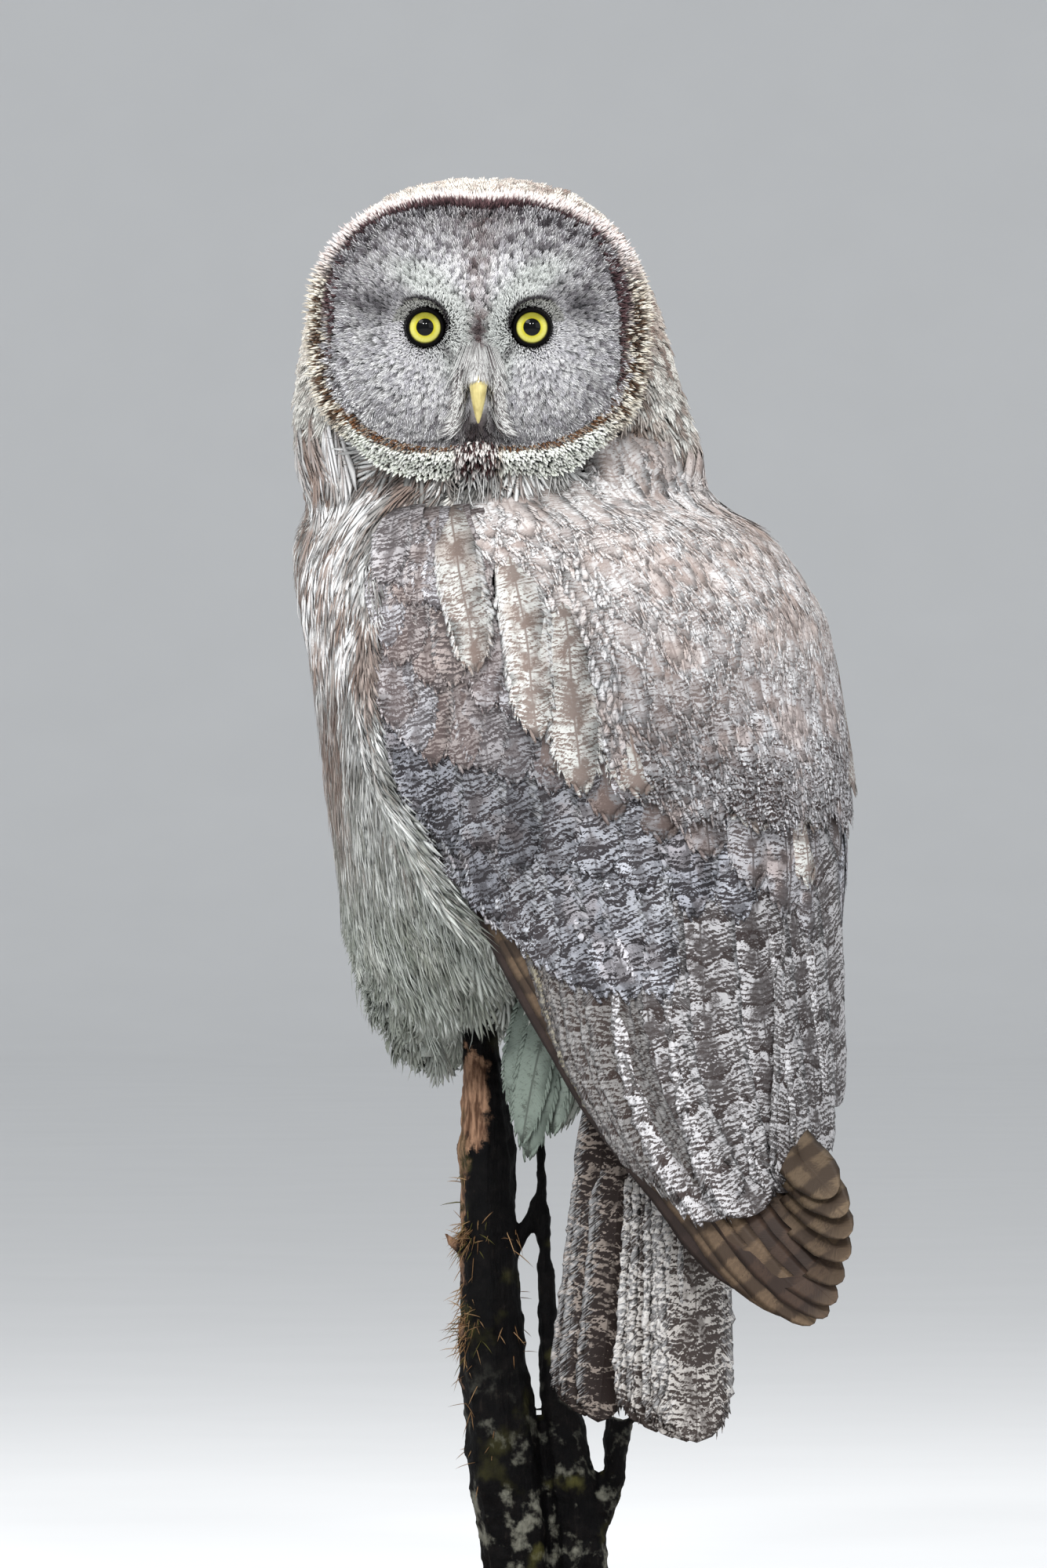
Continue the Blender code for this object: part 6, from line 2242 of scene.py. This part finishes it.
@dataclass
class Branch:
    """The broken, forked branch, with cracked black bark, bare wood, fibres and moss."""

    voxel: float = 1.5

    def build(self, rng: np.random.Generator) -> None:
        """Models the bark and what grows or splinters on it."""
        bark = Bench.copies("branch_bark", "perch")
        Bench.melt(bark, self.voxel, 0.5, 3)
        for label, kind, size, deep in (
            ("lumps", "CLOUDS", 0.020, 2.6), ("cracks", "VORONOI", 0.011, 1.5),
            ("flakes", "CLOUDS", 0.005, 1.2),
        ):
            texture = bpy.data.textures.new(label, kind)
            texture.noise_scale = size
            Bench.apply(
                bark, "DISPLACE", texture=texture, texture_coords="LOCAL", strength=deep * MM, mid_level=0.6
            )
        bark.data.shade_smooth()
        Bench.settle(bark, self.finish(), "bark", "perch")
        self.fibres(rng)

    def finish(self) -> bpy.types.Material:
        """Near-black bark with lichen, moss stains and a patch of bare tan wood."""
        g = Graph("bark_finish")
        at = g.place()
        x, y, z = g.parts(at)
        rough = g.noise(at, 130.0, 6.0, 0.65)
        long_grain = g.noise(g.vector(x * 420, y * 420, z * 60), 1.0, 4.0)
        colour = g.mix(rough.soft(0.35, 0.75), paint(3, 3, 4), paint(17, 15, 15))
        colour = g.mix((long_grain * rough).soft(0.32, 0.44) * 0.3, colour, paint(52, 46, 42))
        wood = g.mix(long_grain.soft(0.35, 0.65), paint(84, 60, 46), paint(158, 124, 100))
        height = z * 1000 + (rough - 0.5) * 60
        high = height.soft(254, 262) * height.soft(304, 296)
        bare = high * (x * 1000 + (rough - 0.5) * 16).soft(-40, -44)
        edge = (x * 1000 + (rough - 0.5) * 20 - z * 30).soft(-59, -63) * (z * 1000).soft(286, 250)
        colour = g.mix(bare.most(edge * 0.8), colour, wood)
        lichen = g.noise(at, 60.0, 5.0, 0.6).soft(0.52, 0.66) * (z * 1000).soft(160, 80)
        colour = g.mix(lichen * 0.75, colour, paint(134, 134, 122))
        second = (x * 1000 - z * 60).soft(-26, -22)
        moss = g.noise(at, 38.0, 4.0).soft(0.55, 0.68) * (second * 0.5 + 0.25)
        colour = g.mix(moss, colour, paint(84, 82, 44))
        relief = g.raise_by(rough * 0.7 + long_grain * 0.6, 0.002)
        return g.surface(
            Base_Color=colour, Roughness=rough * 0.3 + 0.6, Normal=relief, Specular_IOR_Level=0.1
        )

    def fibres(self, rng: np.random.Generator) -> None:
        """Grows torn fibres along the branch's weathered side."""
        form = STRAND.model()
        z = np.concatenate((rng.normal(212, 4, 130), rng.normal(168, 8, 130), rng.uniform(90, 260, 70)))
        count = len(z)
        middle_x = np.interp(z, (90, 150, 220, 300), (-32, -39, -41, -45))
        radius = np.interp(z, (90, 150, 220, 300, 322), (19, 17, 14.8, 9.6, 9.0))
        weathered = rng.random(count) < 0.85
        turn = np.radians(np.where(weathered, rng.normal(205, 26, count), rng.uniform(0, 360, count)))
        out = beside(np.cos(turn), np.sin(turn), 0)
        roots = beside(middle_x, 15, z) + out * (radius - 1.5)[:, None]
        way = unit(out * 0.5 + rng.normal(0, 0.6, out.shape) + np.array((0, 0, -0.5)))
        length = rng.uniform(4, 13, count)
        t = form.shares[None, :, None]
        sag = np.array((0, 0, -1.0)) * (length**2 / 60)[:, None]
        line = roots[:, None] + (way * length[:, None])[:, None] * t + sag[:, None] * t**2
        seed = rng.random(count)
        light = between((112, 82, 54), (190, 156, 116), seed)
        light = blend(light, paint(84, 84, 40), (seed > 0.8) * 1.0)
        lay = Lay(
            line, form.steady(out), rng.uniform(0.3, 0.8, count), 0.5, light, paint(80, 56, 30),
            np.array((0, 0, 0.2)), ragged=0,
        )
        finish = Plumage("fibre_finish", barb=0.3, roughness=0.9).make()
        Bench.settle(grow("branch_fibres", form, lay, rng), finish, "bark")


@dataclass
class Stand:
    """The display stand: a turned wooden base and two steel rods."""

    def build(self) -> None:
        """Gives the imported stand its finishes."""
        g = Graph("stand_oak")
        x, y, z = g.parts(g.place())
        grain = g.noise(g.vector(x * 18, y * 160, z * 60), 1.0, 5.0, 0.6)
        pores = g.noise(g.vector(x * 60, y * 1100, z * 300), 1.0, 2.0)
        colour = g.mix(grain.soft(0.3, 0.7), paint(74, 48, 32), paint(122, 84, 56))
        colour = g.mix(pores.soft(0.62, 0.72) * 0.5, colour, paint(40, 26, 18))
        wood = g.surface(
            Base_Color=colour, Roughness=grain * 0.15 + 0.32, Coat_Weight=0.2,
            Normal=g.raise_by(pores, 0.0002, 0.3),
        )
        g = Graph("brushed_steel")
        x, y, z = g.parts(g.place())
        brushed = g.noise(g.vector(x * 300, y * 300, z * 6000), 1.0, 2.0)
        colour = g.mix(brushed, paint(168, 168, 170), paint(204, 204, 206))
        steel = g.surface(Base_Color=colour, Metallic=1.0, Roughness=brushed * 0.2 + 0.25)
        for node, finish in (("stand_base", wood), ("stand_rod_1", steel), ("stand_rod_2", steel)):
            data = frame["nodes"][node].data
            data.materials.clear()
            data.materials.append(finish)
            LOG.info("%s: packed form, new finish", node)


# ------------------------------------------------------------------ studio


@dataclass
class Studio:
    """A plain pale sweep, soft lights and the camera."""

    lens: float = 280.5
    camera_at: tuple[float, float, float] = (-0.0241, -6.0, 0.4339)

    def build(self) -> None:
        """Sets up sweep, lights, sky and camera."""
        self.sweep()
        white = (1.0, 1.0, 1.0)
        self.light("key", (-1.5, -2.2, 2.8), 1.3, 36.0, (1.0, 0.99, 0.97))
        self.light("fill", (2.2, -2.2, 1.4), 2.0, 18.0, (0.96, 0.98, 1.0))
        self.light("top", (0.2, 0.5, 2.8), 1.6, 40.0, white)
        self.light("glint_left", (-0.85, -3.3, 2.5), 0.34, 56.0, white)
        self.light("glint_right", (0.5, -3.3, 2.5), 0.3, 34.0, white)
        scene = bpy.context.scene
        sky = bpy.data.worlds.new("studio")
        sky.use_nodes = True
        background = sky.node_tree.nodes["Background"]
        background.inputs["Color"].default_value = (0.86, 0.88, 0.9, 1)
        background.inputs["Strength"].default_value = 0.68
        scene.world = sky
        scene.view_settings.view_transform = "Standard"
        data = bpy.data.cameras.new("camera")
        data.lens, data.sensor_width, data.sensor_fit = self.lens, 36.0, "AUTO"
        camera = bpy.data.objects.new("camera", data)
        scene.collection.objects.link(camera)
        camera.location = self.camera_at
        camera.rotation_euler = (math.pi / 2, 0, 0)
        scene.camera = camera

    @staticmethod
    def light(name: str, at: tuple[float, float, float], size: float, power: float, colour: Colour) -> None:
        """Hangs one soft square light, turned to the owl's breast."""
        data = bpy.data.lights.new(name, "AREA")
        data.size, data.energy, data.color = size, power, colour
        lamp = bpy.data.objects.new(name, data)
        bpy.context.scene.collection.objects.link(lamp)
        lamp.location = at
        lamp.rotation_euler = (Vector((0, 0, 0.45)) - Vector(at)).to_track_quat("-Z", "Y").to_euler()

    @staticmethod
    def sweep() -> None:
        """Models the floor and its curved rise behind as one sheet."""
        size, back, radius, steps, rise = 32.0, 13.0, 3.0, 10, 7.0
        Bench.pick()
        bpy.ops.mesh.primitive_grid_add(
            x_subdivisions=2, y_subdivisions=2, size=size, location=(0, back - size / 2, 0)
        )
        sheet = Bench.fresh("studio_sweep")
        Bench.edit(whole=False)
        Bench.close()
        for edge in sheet.data.edges:
            edge.select = all(sheet.data.vertices[index].co.y > back - 0.1 for index in edge.vertices)
        bpy.ops.object.mode_set(mode="EDIT")
        turns = [k * math.pi / 2 / steps for k in range(steps + 1)]
        moves = [
            (0, radius * (math.sin(turn) - math.sin(last)), radius * (math.cos(last) - math.cos(turn)))
            for last, turn in zip(turns, turns[1:])
        ]
        for move in (*moves, (0, 0, rise)):
            bpy.ops.mesh.extrude_region_move(TRANSFORM_OT_translate={"value": move})
        Bench.close()
        sheet.data.shade_smooth()
        g = Graph("studio_paper")
        fine = g.noise(g.place(), 6.0, 2.0)
        colour = g.mix(fine, paint(228, 229, 230), paint(233, 234, 235))
        sheet.data.materials.append(g.surface(Base_Color=colour, Roughness=0.9))


# ------------------------------------------------------------------ all together


def main() -> None:
    """Builds the owl from its skin outwards, then its branch, stand and studio."""
    logging.basicConfig(level=logging.INFO, format="%(name)s: %(message)s", stream=sys.stdout)
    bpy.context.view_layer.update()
    rng = np.random.default_rng(7)
    ground = Skin().build()
    FacialDisc().build(rng)
    Ruff().build(rng)
    HeadCoat().build(ground, rng)
    BodyCoat().build(ground, rng)
    for side in Side:
        Wing(side, ground).build(rng)
    Tail().build(rng)
    Legs().build(rng)
    Eyes().build()
    Bill().build()
    Branch().build(rng)
    Stand().build()
    Studio().build()


if __name__ == "__main__":
    main()
